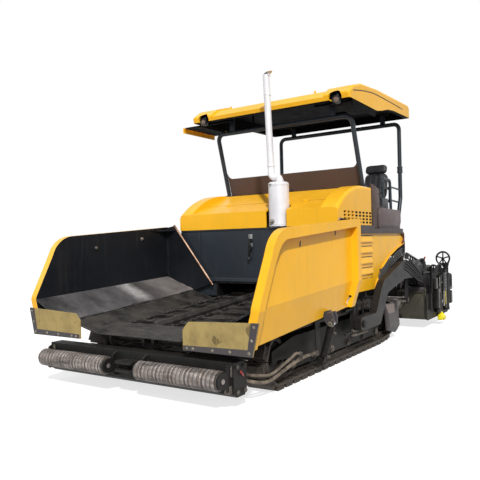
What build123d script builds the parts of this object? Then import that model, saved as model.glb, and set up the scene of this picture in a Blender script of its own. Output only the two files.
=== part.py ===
from build123d import *
import math
import os

# A tracked asphalt paver: a hopper with two folding wings in front, slat conveyors through the
# body, and augers and a floating screed behind. Millimetres. +X is the machine's left, +Y its
# rear, +Z up. The origin lies on the ground under the middle of its length.
# A station is the distance behind the push beam's front face.

# ---- overall ----
ROLLER_REACH = 205            # the push rollers stand this far ahead of station 0
REAR_END = 6195               # station of the walkway's rear edge
MID = (REAR_END - ROLLER_REACH) / 2
BODY_HALF = 1237              # hood and side panels
PLATE = 12                    # sheet and plate thickness unless named otherwise
SEAT_GAP = 0.3                # pieces of different bodies that rest on each other
PIN_CLEARANCE = 0.05          # radial, between a pin and its bore

# ---- tracks ----
TRACK_OUTER = 1240
SHOE_WIDTH = 325
SHOE_COUNT = 45
SHOE_PLATE = 12
PAD_HEIGHT = 48
CHAIN_HEIGHT = 45
CHAIN_WIDTH = 36
CHAIN_HALF_GAP = 30
SHOE_SEAT = 13                # how far the flat shoes sink into the chain's curve
WRAP_RADIUS = 250             # outside of the chain on idler and sprocket
TRACK_X = TRACK_OUTER - SHOE_WIDTH / 2
GROUND_TO_CHAIN = SHOE_PLATE + PAD_HEIGHT
IDLER = (790, GROUND_TO_CHAIN + WRAP_RADIUS)
SPROCKET = (3645, GROUND_TO_CHAIN + WRAP_RADIUS + 20)
ROLLER_RADIUS = 75
ROLLER_FIRST = 1120
ROLLER_LAST = 3380
ROLLER_COUNT = 6
TRACK_TOP = IDLER[1] + WRAP_RADIUS + GROUND_TO_CHAIN
OVER_TRACK = TRACK_TOP + 42
SIDE_PLATE = 14               # plates of the track frame
FRAME_HALF = 78               # half the clear width between those plates

# ---- floor, conveyors and main frame ----
FLOOR_START = 540             # height of the conveyor floor at station 0
RISE = 0.0778                 # the floor and the wing hinges rise to the rear by this
TUNNEL_HALF = 600
TUNNEL_HEIGHT = 215
SIDE_FRAME = 25
CONVEYOR_FRONT = 330          # station of the front shaft
CONVEYOR_REAR = 4230
CHAIN_DROP = 225              # from the carrying to the returning strand
SLAT_PITCH = 300
GUARD_HALF = 42               # half width of the ridge between the conveyors
FRAME_REAR = 4330
FRAME_OUTER = TUNNEL_HALF + SIDE_FRAME
CROSS_BEAMS = ((1050, 200, 330), (2150, 215, 345), (3150, 300, 430))      # station, underside, top
BEAM_WIDTH = 150

# ---- hopper wings ----
WALL_STATION = 2145           # front face of the hopper's rear wall
WALL_TOP = 1640
WING_FRONT = -25
WING_REAR = 2100
WING_OUTER = 1540
WING_DEPTH = 90
WING_SKIN = 10
RIM = 95                      # width of the rim round the recessed panel
HINGE_X = 980
HINGE_RISE = 97               # hinge line above the conveyor floor
KNUCKLE_RADIUS = 24
UNDER_KNUCKLE = KNUCKLE_RADIUS + SEAT_GAP
HINGE_PIN_RADIUS = 12
FOLD_FRONT = 875              # height of the wing's fold line
FOLD_REAR = 990
BOTTOM_FRONT = 540
BOTTOM_REAR = 690
TUCK = 95                     # the lower panel leans in by this

FIXED_KNUCKLES = ((245, 90), (975, 90), (1985, 70))          # station and length
WING_KNUCKLES = ((60, 180), (340, 160), (810, 160), (1070, 160), (1820, 160))
KNUCKLE_GAP = 8
KNUCKLE_SPACE = 12            # radial, round the fixed knuckles
FLOOR_EDGE = HINGE_X - KNUCKLE_RADIUS - KNUCKLE_GAP
SLOPE_REAR = 2060             # where the hopper's sloping side plates end
WALL_THICK = 15
RIB_STATIONS = (80, 700, 1960)
REAR_TIP = (640, 915)         # inner corner of the wing's three-cornered rear plate
REAR_PEAK = (1300, 1715)
RIDGE_HIGH = 95               # the ridge between the conveyors
RIDGE_HALF = 12
APRON_FLAP = 14
APRON_FRAME = 8
APRON_INNER = 705
APRON_FOOT = 500

# ---- cylinders ----
EYE_WIDTH = 52
EYE_RADIUS = 34
BARREL_RADIUS = 42
BARREL_WALL = 12
BARREL_START = 58             # the barrel begins this far from its base pin
GLAND = 40
ROD_RADIUS = 22
ROD_HEAD = 30
PIN_RADIUS = 15               # pins of all cylinders
EAR = 16
FORK_STATION = 1545           # where the plane of the folding cylinder meets the ground
FOLD_BASE = (1300, 150)
FOLD_EYE = (1445, 575)
FORK_HALF = 52
FORK_EAR = 22
FORK_OUTLINE = ((-75, 90), (25, 125), (47, 55), (37, -13), (5, -35), (-33, -23), (-75, 40))   # round the eye
FOLD_BARREL = 410
FOLD_HIDDEN = 342             # length of rod inside the barrel
ARM_LOW = 640                 # underside of the bracket's arm over the track
LIFT_X = 880
LIFT_BASE = (4410, 1330)
LIFT_EYE = (5040, 680)
LIFT_BARREL = 640
LIFT_HIDDEN = 380
EAR_GAP = 3
LIFT_EAR_IN = EYE_WIDTH / 2 + EAR_GAP    # the ears stand this far from the cylinder's middle
LIFT_EAR_OUT = LIFT_EAR_IN + EAR

# ---- push beam and rollers ----
BEAM_HALF = 1240
BEAM_DEPTH = 190
BEAM_LOW = 115
BEAM_TOP = 420
BEAM_CAP = 15                 # end plates
PUSH_ROLLER = (-115, 285)
PUSH_ROLLER_RADIUS = 90
PUSH_ROLLER_FROM = 232
PUSH_ROLLER_TO = 1180
PUSH_PIN_RADIUS = 22
PUSH_LUG = 22
LUG_RADIUS = 70
RING_PITCH = 38
GROOVE_WIDTH = 14
GROOVE_DEPTH = 5
JAW_STATION = -85
JAW_RADIUS = 26
JAW_PLATES = (240, 320)

# ---- body, platform and canopy ----
OUTSIDE_TRACK = TRACK_OUTER + 10
ENGINE = (2400, 3100, 1600)   # front and rear station, top
ENGINE_HALF = 530
HOOD_FRONT = 2130
HOOD_REAR = 3200
HOOD_SKIN = 20
HOOD_CREASE = 1857            # top of the hood's upright front
HOOD_CROWN = (2980, 2155)
HOOD_MIDDLE = 1010
PLATFORM_TOP = 1600
PLATFORM_THICK = 65
PLATFORM_FRONT = 2630
PLATFORM_REAR = 4310
PLATFORM_HALF = 1270
LEDGE_LAP = 11                # the hood's sides stand on the platform's ledges by this much
MUFFLER = (370, 2215)
MUFFLER_RADIUS = 132
MUFFLER_BAY = 22              # space round the muffler in the hood
PANEL_REAR = 4400
PANEL_LOW = 785
ARCH = (                      # lower edge of the side panel behind the doors
    (3225, PANEL_LOW), (3300, 880), (3390, 955), (3550, 1085), (3790, 1205), (4090, 1305), (PANEL_REAR, 1380),
)
ARCH_LIP = 18
DOOR_FRONT = 2660
DOOR_REAR = 3196
DOOR_LOW = 950
DOOR_HIGH = 1500
DOOR_GAP = 8
ROOF_HALF = 1262
ROOF_FRONT = 2500
ROOF_REAR = 4760
TUBE_RADIUS = 32
DOOR_AXIS = (BODY_HALF + 8, DOOR_FRONT - 4)
DOOR_KNUCKLE = 7
DOOR_LEAF = 40                # height of one door knuckle
HINGE_HEIGHTS = (DOOR_LOW + 60, DOOR_HIGH - 100)
PORTAL_X = BODY_HALF - 117    # the front posts stand on the hood, this far in from its side
DASH_HALF = PORTAL_X - 80      # clear of the posts' foot plates
DASH_TOP = 2240
SEAT_X = 850
SEAT_FRONT = 3800
SEAT_HALF = 240
HEADREST_HALF = 130
CONSOLE_X = 1120
CONSOLE_WIDTH = 130
PORTAL_FOOT = 3160
PORTAL_TOP = (2880, 3090)
POST_PLATE = (2155, 2175)     # underside and top of the posts' foot plates
REAR_POST = 4710
REAR_POST_X = 1100
REAR_RAIL = 3275              # height of the rear frame's top tube
REAR_FOOT = (PLATFORM_REAR + 20, 1568)
HANGER_X = 830
HANGER_WIDTH = 80
HANGER_THICK = 30
ROOF_CAP = 900                # the roof's raised corners reach in to this
ROOF_STEP = 28
ROOF_WALL = 70
LAMP = (1060, 3250)           # the lamps' notches: distance from the middle, height
LAMP_NOTCH = 92
RUNNER = (960, 3222)          # the awnings' runners: distance from the middle, height
RUNNER_THICK = 30
AWNING_WIDTH = 330
AWNING_TRAVEL = 280
AWNING_LENGTH = 740
AWNING_REAR = 3330
AWNING_TOP = RUNNER[1] - RUNNER_THICK / 2 - SEAT_GAP
SCREEN_HALF = PORTAL_X - TUBE_RADIUS - 7    # clear of the posts on both sides
SCREEN_TILT = 0.3
SCREEN_HEIGHT = 272
SCREEN_CORNER = 80
SLANT = math.hypot(1, SCREEN_TILT)
SCREEN_LOW = POST_PLATE[1] + SEAT_GAP + PLATE * SCREEN_TILT / SLANT

# ---- exhaust ----
ELBOW = 48                    # bend radius
PIPE_RADIUS = 43
PIPE_WALL = 5
PIPE_X = 265                  # where the pipe stands above its crossover
PIPE_LEAN = -0.033
OUTLET_X = 390
CROSSOVER = 2284              # height of the pipe's level stretch
PIPE_TOP = 3608
COLLAR = (2210, 2224)         # underside and top of the muffler's outlet collar

# ---- tow arms, augers and screed ----
ARM_INNER = 1305
ARM_WIDTH = 95
TOW_POINT = (2450, 425)
TOW_PIN_RADIUS = 30
GUIDE_THICK = 38
AUGER = (4545, 500)
AUGER_RADIUS = 190
AUGER_SHAFT = 38
AUGER_PITCH = 340
AUGER_FROM = 62                # the shaft's ends sit in the gearbox and in the outer bearing
AUGER_TO = 1248
AUGER_MARGIN = 40
SCREED_HALF = 1250
SCREED_FRONT = 4920
SCREED_BASE = 140
SCREED_DEPTH = 520
SCREED_HEIGHT = 470
SCREED_TOP = SCREED_BASE + SCREED_HEIGHT
SCREED_SKIN = 20
RAIL_DEPTH = 28               # guide rails of the screed's extensions
EXTENSION_FRONT = SCREED_FRONT + SCREED_DEPTH + RAIL_DEPTH + SEAT_GAP
EXTENSION_DEPTH = 470
EXTENSION_END = 1430
GATE_THICK = 16
SPINDLE_OUT = 34
BULKHEAD_LOW = 1180
GEARBOX_HALF = 88
TOW_BRACKET_X = 1290
ARCH_DEPTH = 60
WALKWAY_RISE = 110
WALKWAY_THICK = 30
SPINDLES = (5000, 5780)       # stations of the end gate's height screws
GUARD_X = 1247                # inner face of the sprocket guards
GUARD_THICK = 14


def side(x):
    """A plane that faces the machine's left: drawn in station and height."""
    return Plane(origin=(x, -MID, 0), x_dir=(0, 1, 0), z_dir=(1, 0, 0))


def front(station):
    """A plane that faces forward: drawn in X and height."""
    return Plane(origin=(0, station - MID, 0), x_dir=(1, 0, 0), z_dir=(0, -1, 0))


def level(height):
    """A level plane: drawn in X and station."""
    return Plane(origin=(0, -MID, height))


def fold_plane(ahead):
    """Square to the wings' hinges, ahead of the folding cylinder's middle: drawn in X and height."""
    middle = Plane(origin=(0, FORK_STATION - MID, 0), x_dir=(1, 0, 0), z_dir=(0, -1, -RISE))
    return middle.offset(ahead)


def floor_at(station):
    return FLOOR_START + RISE * station


def hinge_at(station):
    return floor_at(station) + HINGE_RISE


def save(piece, name):
    piece.label = name
    export_step(piece, f"parts/{name}.step")


def save_pair(piece, name):
    """Writes a left piece and its mirror image."""
    save(piece, f"{name}_left")
    with BuildPart() as other:
        mirror(piece, about=Plane.YZ)
    save(other.part, f"{name}_right")


def save_both(piece, name):
    """Writes a left piece and its mirror image as one node."""
    with BuildPart() as both:
        add(piece)
        mirror(piece, about=Plane.YZ)
    save(both.part, name)


def cylinder_along(x_from, x_to, at, radius, mode=Mode.ADD):
    """A shaft along X through a station and height."""
    with BuildSketch(side(x_from)) as disc:
        with Locations(at):
            Circle(radius)
    extrude(disc.sketch, amount=x_to - x_from, mode=mode)


def tube_along(points, radius, bend):
    """A round tube along straight runs joined by arcs."""
    with BuildPart() as tube:
        with BuildLine() as path:
            FilletPolyline(points, radius=bend)
        with BuildSketch(Plane(origin=path.line @ 0, z_dir=path.line % 0)):
            Circle(radius)
        sweep()
    return tube.part


def at(x, station, z):
    return (x, station - MID, z)


os.makedirs("parts", exist_ok=True)


# ================= tracks =================
def track_loop():
    """The outline of the chain's outside, and the places of the shoes on it."""
    with BuildSketch() as outline:
        with Locations(IDLER, SPROCKET):
            Circle(WRAP_RADIUS)
        with Locations((ROLLER_LAST, GROUND_TO_CHAIN + CHAIN_HEIGHT + ROLLER_RADIUS)):
            Circle(CHAIN_HEIGHT + ROLLER_RADIUS)
        make_hull()
    face = outline.sketch.faces()[0]
    wire = face.outer_wire()
    middle = face.center()
    places = []
    for index in range(SHOE_COUNT):
        at = wire @ (index / SHOE_COUNT)
        along = wire % (index / SHOE_COUNT)
        if along.X * (at.Y - middle.Y) - along.Y * (at.X - middle.X) > 0:
            along = -along
        places.append(Location((at.X, at.Y, 0), (0, 0, math.degrees(math.atan2(along.Y, along.X)))))
    return face, wire.length / SHOE_COUNT, places


def make_track():
    face, pitch, places = track_loop()
    with BuildPart() as track:
        for strand in (-CHAIN_HALF_GAP - CHAIN_WIDTH, CHAIN_HALF_GAP):
            with BuildSketch(side(TRACK_X + strand)):
                add(face)
                offset(face, amount=-CHAIN_HEIGHT, mode=Mode.SUBTRACT)
            extrude(amount=CHAIN_WIDTH)
        for width, length, low, thick in (
            (SHOE_WIDTH, 0.94 * pitch, -SHOE_SEAT, SHOE_PLATE + SHOE_SEAT),
            (SHOE_WIDTH - 30, 0.74 * pitch, SHOE_PLATE, PAD_HEIGHT),
        ):
            with BuildSketch(side(TRACK_X - width / 2)):
                with Locations(*places):
                    with Locations((0, -low)):
                        Rectangle(length, thick, align=(Align.CENTER, Align.MAX))
            extrude(amount=width)
    return track.part


def make_undercarriage():
    """Track frame with rollers, idler, sprocket and final drive."""
    inner_wrap = WRAP_RADIUS - CHAIN_HEIGHT - SEAT_GAP
    roller_z = GROUND_TO_CHAIN + CHAIN_HEIGHT + ROLLER_RADIUS + SEAT_GAP
    spacing = (ROLLER_LAST - ROLLER_FIRST) / (ROLLER_COUNT - 1)
    tread = CHAIN_HALF_GAP + CHAIN_WIDTH
    with BuildPart() as frame:
        for x in (TRACK_X - FRAME_HALF - SIDE_PLATE, TRACK_X + FRAME_HALF):
            with BuildSketch(side(x)):
                with BuildLine():
                    Polyline(
                        (IDLER[0] - 70, 290), (ROLLER_FIRST - 110, 260), (ROLLER_FIRST - 60, 140),
                        (ROLLER_LAST + 60, 140), (ROLLER_LAST + 110, 300), (3430, 470),
                        (1150, 470), (IDLER[0] - 70, 380), close=True,
                    )
                make_face()
            extrude(amount=SIDE_PLATE)
        with BuildSketch(side(TRACK_X - FRAME_HALF)):
            with BuildLine():
                Polyline((1010, 290), (3440, 290), (3400, 450), (1130, 450), close=True)
            make_face()
        extrude(amount=2 * FRAME_HALF)
        for index in range(ROLLER_COUNT):
            at = (ROLLER_FIRST + spacing * index, roller_z)
            cylinder_along(TRACK_X - FRAME_HALF, TRACK_X + FRAME_HALF, at, 28)
            for x in (TRACK_X - tread, TRACK_X + CHAIN_HALF_GAP):
                cylinder_along(x, x + CHAIN_WIDTH, at, ROLLER_RADIUS)
            cylinder_along(TRACK_X - CHAIN_HALF_GAP, TRACK_X + CHAIN_HALF_GAP, at, ROLLER_RADIUS - 14)
        carrier_z = IDLER[1] + inner_wrap - 52
        for station in (1750, 2700):
            sag = (SPROCKET[1] - IDLER[1]) * (station - IDLER[0]) / (SPROCKET[0] - IDLER[0])
            at = (station, carrier_z + sag)
            cylinder_along(TRACK_X - tread, TRACK_X + tread, at, 52)
            with BuildSketch(side(TRACK_X - 22)):
                with Locations((station, (450 + at[1]) / 2)):
                    Rectangle(60, at[1] - 450)
            extrude(amount=44)
        cylinder_along(TRACK_X - tread, TRACK_X + tread, IDLER, inner_wrap)
        cylinder_along(TRACK_X - CHAIN_HALF_GAP, TRACK_X + CHAIN_HALF_GAP, IDLER, inner_wrap + 18)
        cylinder_along(TRACK_X - FRAME_HALF, TRACK_X + FRAME_HALF, IDLER, 60)
        for x, width in ((TRACK_X - tread, 30), (TRACK_X + tread - 30, 30)):
            with BuildSketch(side(x)):
                with Locations(IDLER):
                    Circle(inner_wrap - 40)
                    Circle(75, mode=Mode.SUBTRACT)
            extrude(amount=width, mode=Mode.SUBTRACT)
        tooth_count = 17
        with BuildSketch(side(TRACK_X - 20)):
            with Locations(SPROCKET):
                Circle(inner_wrap)
                with PolarLocations(inner_wrap - 8, tooth_count):
                    Trapezoid(42, 60, 72, rotation=-90, align=(Align.CENTER, Align.CENTER))
        extrude(amount=40)
        cylinder_along(TRACK_X - tread, TRACK_X + tread, SPROCKET, inner_wrap - 45)
        cylinder_along(TRACK_OUTER - SHOE_WIDTH, TRACK_X + FRAME_HALF + 20, SPROCKET, 120)
        with BuildSketch(side(TRACK_X - FRAME_HALF - SIDE_PLATE)):
            with BuildLine():
                Polyline((3300, 300), (3600, 300), (3600, 440), (3300, 450), close=True)
            make_face()
        extrude(amount=SIDE_PLATE)
    return frame.part


save_pair(make_track(), "track")
save_both(make_undercarriage(), "track_frames")


# ================= main frame =================
def sloped_plate(start, end, lift, half, thick=PLATE):
    """A plate across the machine that rises with the conveyor floor; its top lies lift above it."""
    with BuildSketch(side(-half)) as strip:
        with BuildLine():
            Polyline(
                (start, floor_at(start) + lift - thick), (end, floor_at(end) + lift - thick),
                (end, floor_at(end) + lift), (start, floor_at(start) + lift), close=True,
            )
        make_face()
    extrude(strip.sketch, amount=2 * half)


def make_frame_sides():
    """The two upright plates beside the conveyors."""
    with BuildPart() as sides:
        for x in (-FRAME_OUTER, TUNNEL_HALF):
            with BuildSketch(side(x)):
                with BuildLine():
                    Polyline(
                        (230, 190), (1300, 190), (FRAME_REAR, 430),
                        (FRAME_REAR, floor_at(FRAME_REAR) + TUNNEL_HEIGHT),
                        (WALL_STATION, floor_at(WALL_STATION) + TUNNEL_HEIGHT),
                        (WALL_STATION, floor_at(WALL_STATION)), (230, floor_at(230)), close=True,
                    )
                make_face()
            extrude(amount=SIDE_FRAME)
    return sides.part


def make_frame_plates():
    """Conveyor deck, tunnel roof and cross beams between the side plates."""
    with BuildPart() as plates:
        sloped_plate(400, 4160, 0, TUNNEL_HALF)
        sloped_plate(WALL_STATION, FRAME_REAR, TUNNEL_HEIGHT, TUNNEL_HALF)
        for station, low, high in CROSS_BEAMS:
            with BuildSketch(side(-TUNNEL_HALF)):
                with Locations((station, (low + high) / 2)):
                    RectangleRounded(BEAM_WIDTH, high - low, 20)
            extrude(amount=2 * TUNNEL_HALF)
        with BuildSketch(side(-TUNNEL_HALF)):
            with Locations((265, 258)):
                Rectangle(70, 175)
        extrude(amount=2 * TUNNEL_HALF)
    return plates.part


def make_bearers():
    """Arms outside the side plates: over the tracks, and stubs to the track frames."""
    # station, width, height of the knee, underside and top at the tip, tip, top at the root
    arms = (
        (300, 40, hinge_at(280) - 82, hinge_at(280) - 72, hinge_at(260) - UNDER_KNUCKLE, HINGE_X + 4, 520),
        (1010, 40, OVER_TRACK, OVER_TRACK, hinge_at(970) - UNDER_KNUCKLE, HINGE_X + 4, 598),
        (2020, 40, OVER_TRACK, OVER_TRACK, hinge_at(1980) - UNDER_KNUCKLE, HINGE_X + 4, 676),
        (TOW_POINT[0] + 40, 80, OVER_TRACK, OVER_TRACK, OVER_TRACK + 85, TOW_BRACKET_X, 720),
        (3300, 16, OVER_TRACK, 1080, 1150, BODY_HALF - PLATE, 1000),
        (4250, 16, OVER_TRACK + 100, 1120, 1180, BODY_HALF - PLATE, 1050),
    )
    reach = TRACK_X - FRAME_HALF - SIDE_PLATE
    with BuildPart() as bearers:
        for station, width, knee, low, high, tip, root in arms:
            with BuildSketch(front(station)):
                with BuildLine():
                    Polyline(
                        (FRAME_OUTER, root - 100), (TRACK_OUTER - SHOE_WIDTH - 20, knee), (tip, low),
                        (tip, high), (FRAME_OUTER, root), close=True,
                    )
                make_face()
            extrude(amount=width)
        for station, low, high in CROSS_BEAMS:
            with BuildSketch(side(FRAME_OUTER)):
                with Locations((station, (low + high) / 2)):
                    RectangleRounded(BEAM_WIDTH, high - low, 20)
            extrude(amount=reach - FRAME_OUTER)
    return bearers.part


def make_bulkhead():
    """The plate behind the body, with the ears and pins of the lifting cylinders."""
    back = FRAME_REAR + PLATE
    with BuildPart() as bulkhead:
        with BuildSketch(front(back)):
            with Locations((0, BULKHEAD_LOW)):
                Rectangle(
                    2 * (BODY_HALF - ARCH_DEPTH), PLATFORM_TOP - PLATFORM_THICK - BULKHEAD_LOW,
                    align=(Align.CENTER, Align.MIN),
                )
            with Locations((0, BULKHEAD_LOW)):
                Rectangle(2 * FRAME_OUTER, 160, align=(Align.CENTER, Align.MAX))
        extrude(amount=PLATE)
        for x in (LIFT_X - LIFT_EAR_OUT, LIFT_X + LIFT_EAR_IN, -LIFT_X - LIFT_EAR_OUT, -LIFT_X + LIFT_EAR_IN):
            with BuildSketch(side(x)):
                with BuildLine():
                    Polyline(
                        (back - 2, LIFT_BASE[1] - 70), (LIFT_BASE[0] + 14, LIFT_BASE[1] - 34),
                        (LIFT_BASE[0] + 36, LIFT_BASE[1]), (LIFT_BASE[0] + 14, LIFT_BASE[1] + 34),
                        (back - 2, LIFT_BASE[1] + 70), close=True,
                    )
                make_face()
            extrude(amount=EAR)
        for x in (LIFT_X, -LIFT_X):
            cylinder_along(x - LIFT_EAR_OUT, x + LIFT_EAR_OUT, LIFT_BASE, PIN_RADIUS)
    return bulkhead.part


save(make_frame_sides(), "main_frame")
save(make_frame_plates(), "frame_plates")
save_both(make_bearers(), "frame_bearers")
save(make_bulkhead(), "rear_bulkhead")


# ================= push beam and rollers =================
with BuildPart() as push_beam:
    with BuildSketch(side(-BEAM_HALF)):
        with BuildLine():
            Polyline(
                (0, BEAM_LOW + 30), (40, BEAM_LOW), (BEAM_DEPTH - 30, BEAM_LOW),
                (BEAM_DEPTH, BEAM_LOW + 60), (BEAM_DEPTH, BEAM_TOP - 40), (BEAM_DEPTH - 50, BEAM_TOP),
                (0, BEAM_TOP), close=True,
            )
        make_face()
    extrude(amount=2 * BEAM_HALF)
    with BuildSketch(side(-BEAM_HALF + BEAM_CAP)):
        with Locations((BEAM_DEPTH / 2, (BEAM_LOW + BEAM_TOP) / 2)):
            RectangleRounded(BEAM_DEPTH - 34, BEAM_TOP - BEAM_LOW - 60, 18)
    extrude(amount=2 * (BEAM_HALF - BEAM_CAP), mode=Mode.SUBTRACT)
    # lugs that hold the roller shafts
    for low in (PUSH_ROLLER_FROM - PUSH_LUG - 12, PUSH_ROLLER_TO + 10):
        for x in (low, -low - PUSH_LUG):
            with BuildSketch(side(x)):
                with BuildLine():
                    Polyline((10, BEAM_LOW + 50), (-60, 190), (-60, 380), (10, BEAM_TOP - 5), close=True)
                make_face()
                with Locations(PUSH_ROLLER):
                    Circle(LUG_RADIUS)
                with Locations((PUSH_ROLLER[0] / 2, PUSH_ROLLER[1])):
                    Rectangle(-PUSH_ROLLER[0], 2 * LUG_RADIUS)
                with Locations(PUSH_ROLLER):
                    Circle(PUSH_PIN_RADIUS + PIN_CLEARANCE, mode=Mode.SUBTRACT)
            extrude(amount=PUSH_LUG)
    # towing jaw in the middle
    for z in JAW_PLATES:
        with BuildSketch(level(z)):
            with Locations((0, -55)):
                RectangleRounded(230, 150, 30)
            with Locations((0, JAW_STATION)):
                Circle(JAW_RADIUS, mode=Mode.SUBTRACT)
        extrude(amount=PUSH_LUG)
    with BuildSketch(side(-110)):
        with Locations((BEAM_DEPTH + 20, 265)):
            Rectangle(40, 150)
    extrude(amount=220)
save(push_beam.part, "push_beam")

with BuildPart() as push_roller:
    length = PUSH_ROLLER_TO - PUSH_ROLLER_FROM
    with BuildSketch(side(PUSH_ROLLER_FROM)):
        with Locations(PUSH_ROLLER):
            Circle(PUSH_ROLLER_RADIUS)
    extrude(amount=length)
    # worn bands between welded rings
    for index in range(int(length / RING_PITCH)):
        with BuildSketch(side(PUSH_ROLLER_FROM + 12 + index * RING_PITCH)):
            with Locations(PUSH_ROLLER):
                Circle(PUSH_ROLLER_RADIUS)
                Circle(PUSH_ROLLER_RADIUS - GROOVE_DEPTH, mode=Mode.SUBTRACT)
        extrude(amount=GROOVE_WIDTH, mode=Mode.SUBTRACT)
    with BuildSketch(side(PUSH_ROLLER_FROM - PUSH_LUG - 12)):
        with Locations(PUSH_ROLLER):
            Circle(PUSH_PIN_RADIUS)
    extrude(amount=length + 2 * (PUSH_LUG + 12))
save_pair(push_roller.part, "push_roller")


# ================= hopper =================
def along_hinge(start, length, radius, mode=Mode.ADD):
    """A cylinder on the left wing's hinge line."""
    place = Plane(
        origin=(HINGE_X, start - MID, hinge_at(start)), x_dir=(1, 0, 0), z_dir=(0, 1, RISE)
    )
    with BuildSketch(place) as disc:
        Circle(radius)
    extrude(disc.sketch, amount=length, mode=mode)


shaft_floor = floor_at(CONVEYOR_FRONT)
with BuildPart() as hopper_floor:
    for hand in (-1, 1):
        with BuildSketch(front(60)):
            with BuildLine():
                Polyline(
                    (hand * (TUNNEL_HALF - 25), floor_at(60)), (hand * FLOOR_EDGE, hinge_at(60) - 2),
                    (hand * FLOOR_EDGE, hinge_at(60) + 10), (hand * (TUNNEL_HALF - 25), floor_at(60) + PLATE),
                    close=True,
                )
            make_face()
        extrude(amount=SLOPE_REAR - 60, dir=(0, 1, RISE))
    # ridge between the conveyors
    with BuildSketch(front(CONVEYOR_FRONT)):
        with BuildLine():
            Polyline(
                (-GUARD_HALF, shaft_floor), (GUARD_HALF, shaft_floor), (GUARD_HALF, shaft_floor + 60),
                (RIDGE_HALF, shaft_floor + RIDGE_HIGH), (-RIDGE_HALF, shaft_floor + RIDGE_HIGH),
                (-GUARD_HALF, shaft_floor + 60), close=True,
            )
        make_face()
    extrude(amount=FRAME_REAR - 200 - CONVEYOR_FRONT, dir=(0, 1, RISE))
    # apron plate over the front shaft
    with BuildSketch(side(-TUNNEL_HALF + 25)):
        with BuildLine():
            Polyline(
                (60, floor_at(60)), (60, floor_at(60) + PLATE), (190, floor_at(190) + 62),
                (CONVEYOR_FRONT, shaft_floor + 70), (CONVEYOR_FRONT, shaft_floor + 58),
                (195, floor_at(195) + 50), (80, floor_at(60)), close=True,
            )
        make_face()
    extrude(amount=2 * TUNNEL_HALF - 50)
    for start, length in FIXED_KNUCKLES:
        along_hinge(start, length, KNUCKLE_RADIUS)
        with BuildSketch(front(start)):
            with Locations((HINGE_X - KNUCKLE_RADIUS, hinge_at(start) - 4)):
                Rectangle(34, 12)
        extrude(amount=length, dir=(0, 1, RISE))
    along_hinge(60, SLOPE_REAR - 60, HINGE_PIN_RADIUS)
    mirror(about=Plane.YZ)
save(hopper_floor.part, "hopper_floor")

with BuildPart() as rear_wall:
    with BuildSketch(front(WALL_STATION + WALL_THICK)):
        with BuildLine():
            Polyline(
                (-BODY_HALF, 740), (-FRAME_OUTER - 5, 740),
                (-FRAME_OUTER - 5, floor_at(WALL_STATION) + TUNNEL_HEIGHT + 2),
                (FRAME_OUTER + 5, floor_at(WALL_STATION) + TUNNEL_HEIGHT + 2),
                (FRAME_OUTER + 5, 740), (BODY_HALF, 740), (BODY_HALF, WALL_TOP),
                (-BODY_HALF, WALL_TOP), close=True,
            )
        make_face()
    extrude(amount=WALL_THICK)
save(rear_wall.part, "hopper_rear_wall")


def conveyor_outline(grow):
    """The chain's loop in side view, grown outward."""
    radius = CHAIN_DROP / 2 + grow
    with BuildSketch() as loop:
        for station in (CONVEYOR_FRONT, CONVEYOR_REAR):
            with Locations((station, floor_at(station) + 22 - CHAIN_DROP / 2)):
                Circle(radius)
        make_hull()
    return loop.sketch


with BuildPart() as conveyor:
    inner = GUARD_HALF + 8
    outer = TUNNEL_HALF - 30
    for x in (inner, outer - 30):
        with BuildSketch(side(x)):
            add(conveyor_outline(0))
            add(conveyor_outline(-16), mode=Mode.SUBTRACT)
        extrude(amount=30)
    slope = math.degrees(math.atan(RISE))
    slat_count = int((CONVEYOR_REAR - CONVEYOR_FRONT) / SLAT_PITCH)
    with BuildSketch(side(inner)):
        for index in range(slat_count + 1):
            station = CONVEYOR_FRONT + index * SLAT_PITCH
            with Locations(Location((station, floor_at(station) + 18, 0), (0, 0, slope))):
                Rectangle(46, 30)
            with Locations(Location((station, floor_at(station) + 26 - CHAIN_DROP, 0), (0, 0, slope))):
                Rectangle(46, 30)
    extrude(amount=outer - inner)
    for station in (CONVEYOR_FRONT, CONVEYOR_REAR):
        centre = (station, floor_at(station) + 22 - CHAIN_DROP / 2)
        for x in (inner + 2, outer - 28):
            cylinder_along(x, x + 26, centre, CHAIN_DROP / 2 - 16)
        cylinder_along(GUARD_HALF - 30, TUNNEL_HALF, centre, 40)
save_both(conveyor.part, "conveyors")


# ================= hopper wings =================
def wing_section(station, fold, bottom, inset, high=1800):
    """The wall's section at a station; inset thins it from outside to the skin."""
    outer = WING_OUTER if not inset else WING_OUTER + 40
    inner = WING_OUTER - WING_DEPTH + inset
    with BuildSketch(front(station)) as section:
        with BuildLine():
            Polyline(
                (inner, high), (outer, high), (outer, fold), (outer - TUCK, bottom),
                (inner - TUCK, bottom), (inner, fold), close=True,
            )
        make_face()
    return section.sketch


def wing_outline(inset):
    """The wing's side view, drawn in by inset; its front edge leans back and rounds into the top."""
    corners = (
        ((WING_FRONT + inset, 900), 120),
        ((190 + inset, 1330), 220),
        ((300 + inset, 1570 - inset), 300 - inset),
    )
    with BuildSketch(side(WING_OUTER - 400)) as outline:
        with BuildLine():
            Polyline(
                (WING_FRONT + inset, 300), (WING_FRONT + inset, 900), (190 + inset, 1330),
                (300 + inset, 1570 - inset), (WING_REAR - inset, 1700 - inset),
                (WING_REAR - inset, 300), close=True,
            )
        make_face()
        for at, radius in corners:
            fillet(outline.vertices().sort_by_distance(at)[0], radius)
    return outline.sketch


def floor_section(station, fold):
    wall = WING_OUTER - WING_DEPTH + 4
    with BuildSketch(front(station)) as section:
        with BuildLine():
            Polyline(
                (HINGE_X, hinge_at(station) - 6), (HINGE_X, hinge_at(station) + 8),
                (wall, fold + 8), (wall, fold - 8), close=True,
            )
        make_face()
    return section.sketch


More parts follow.
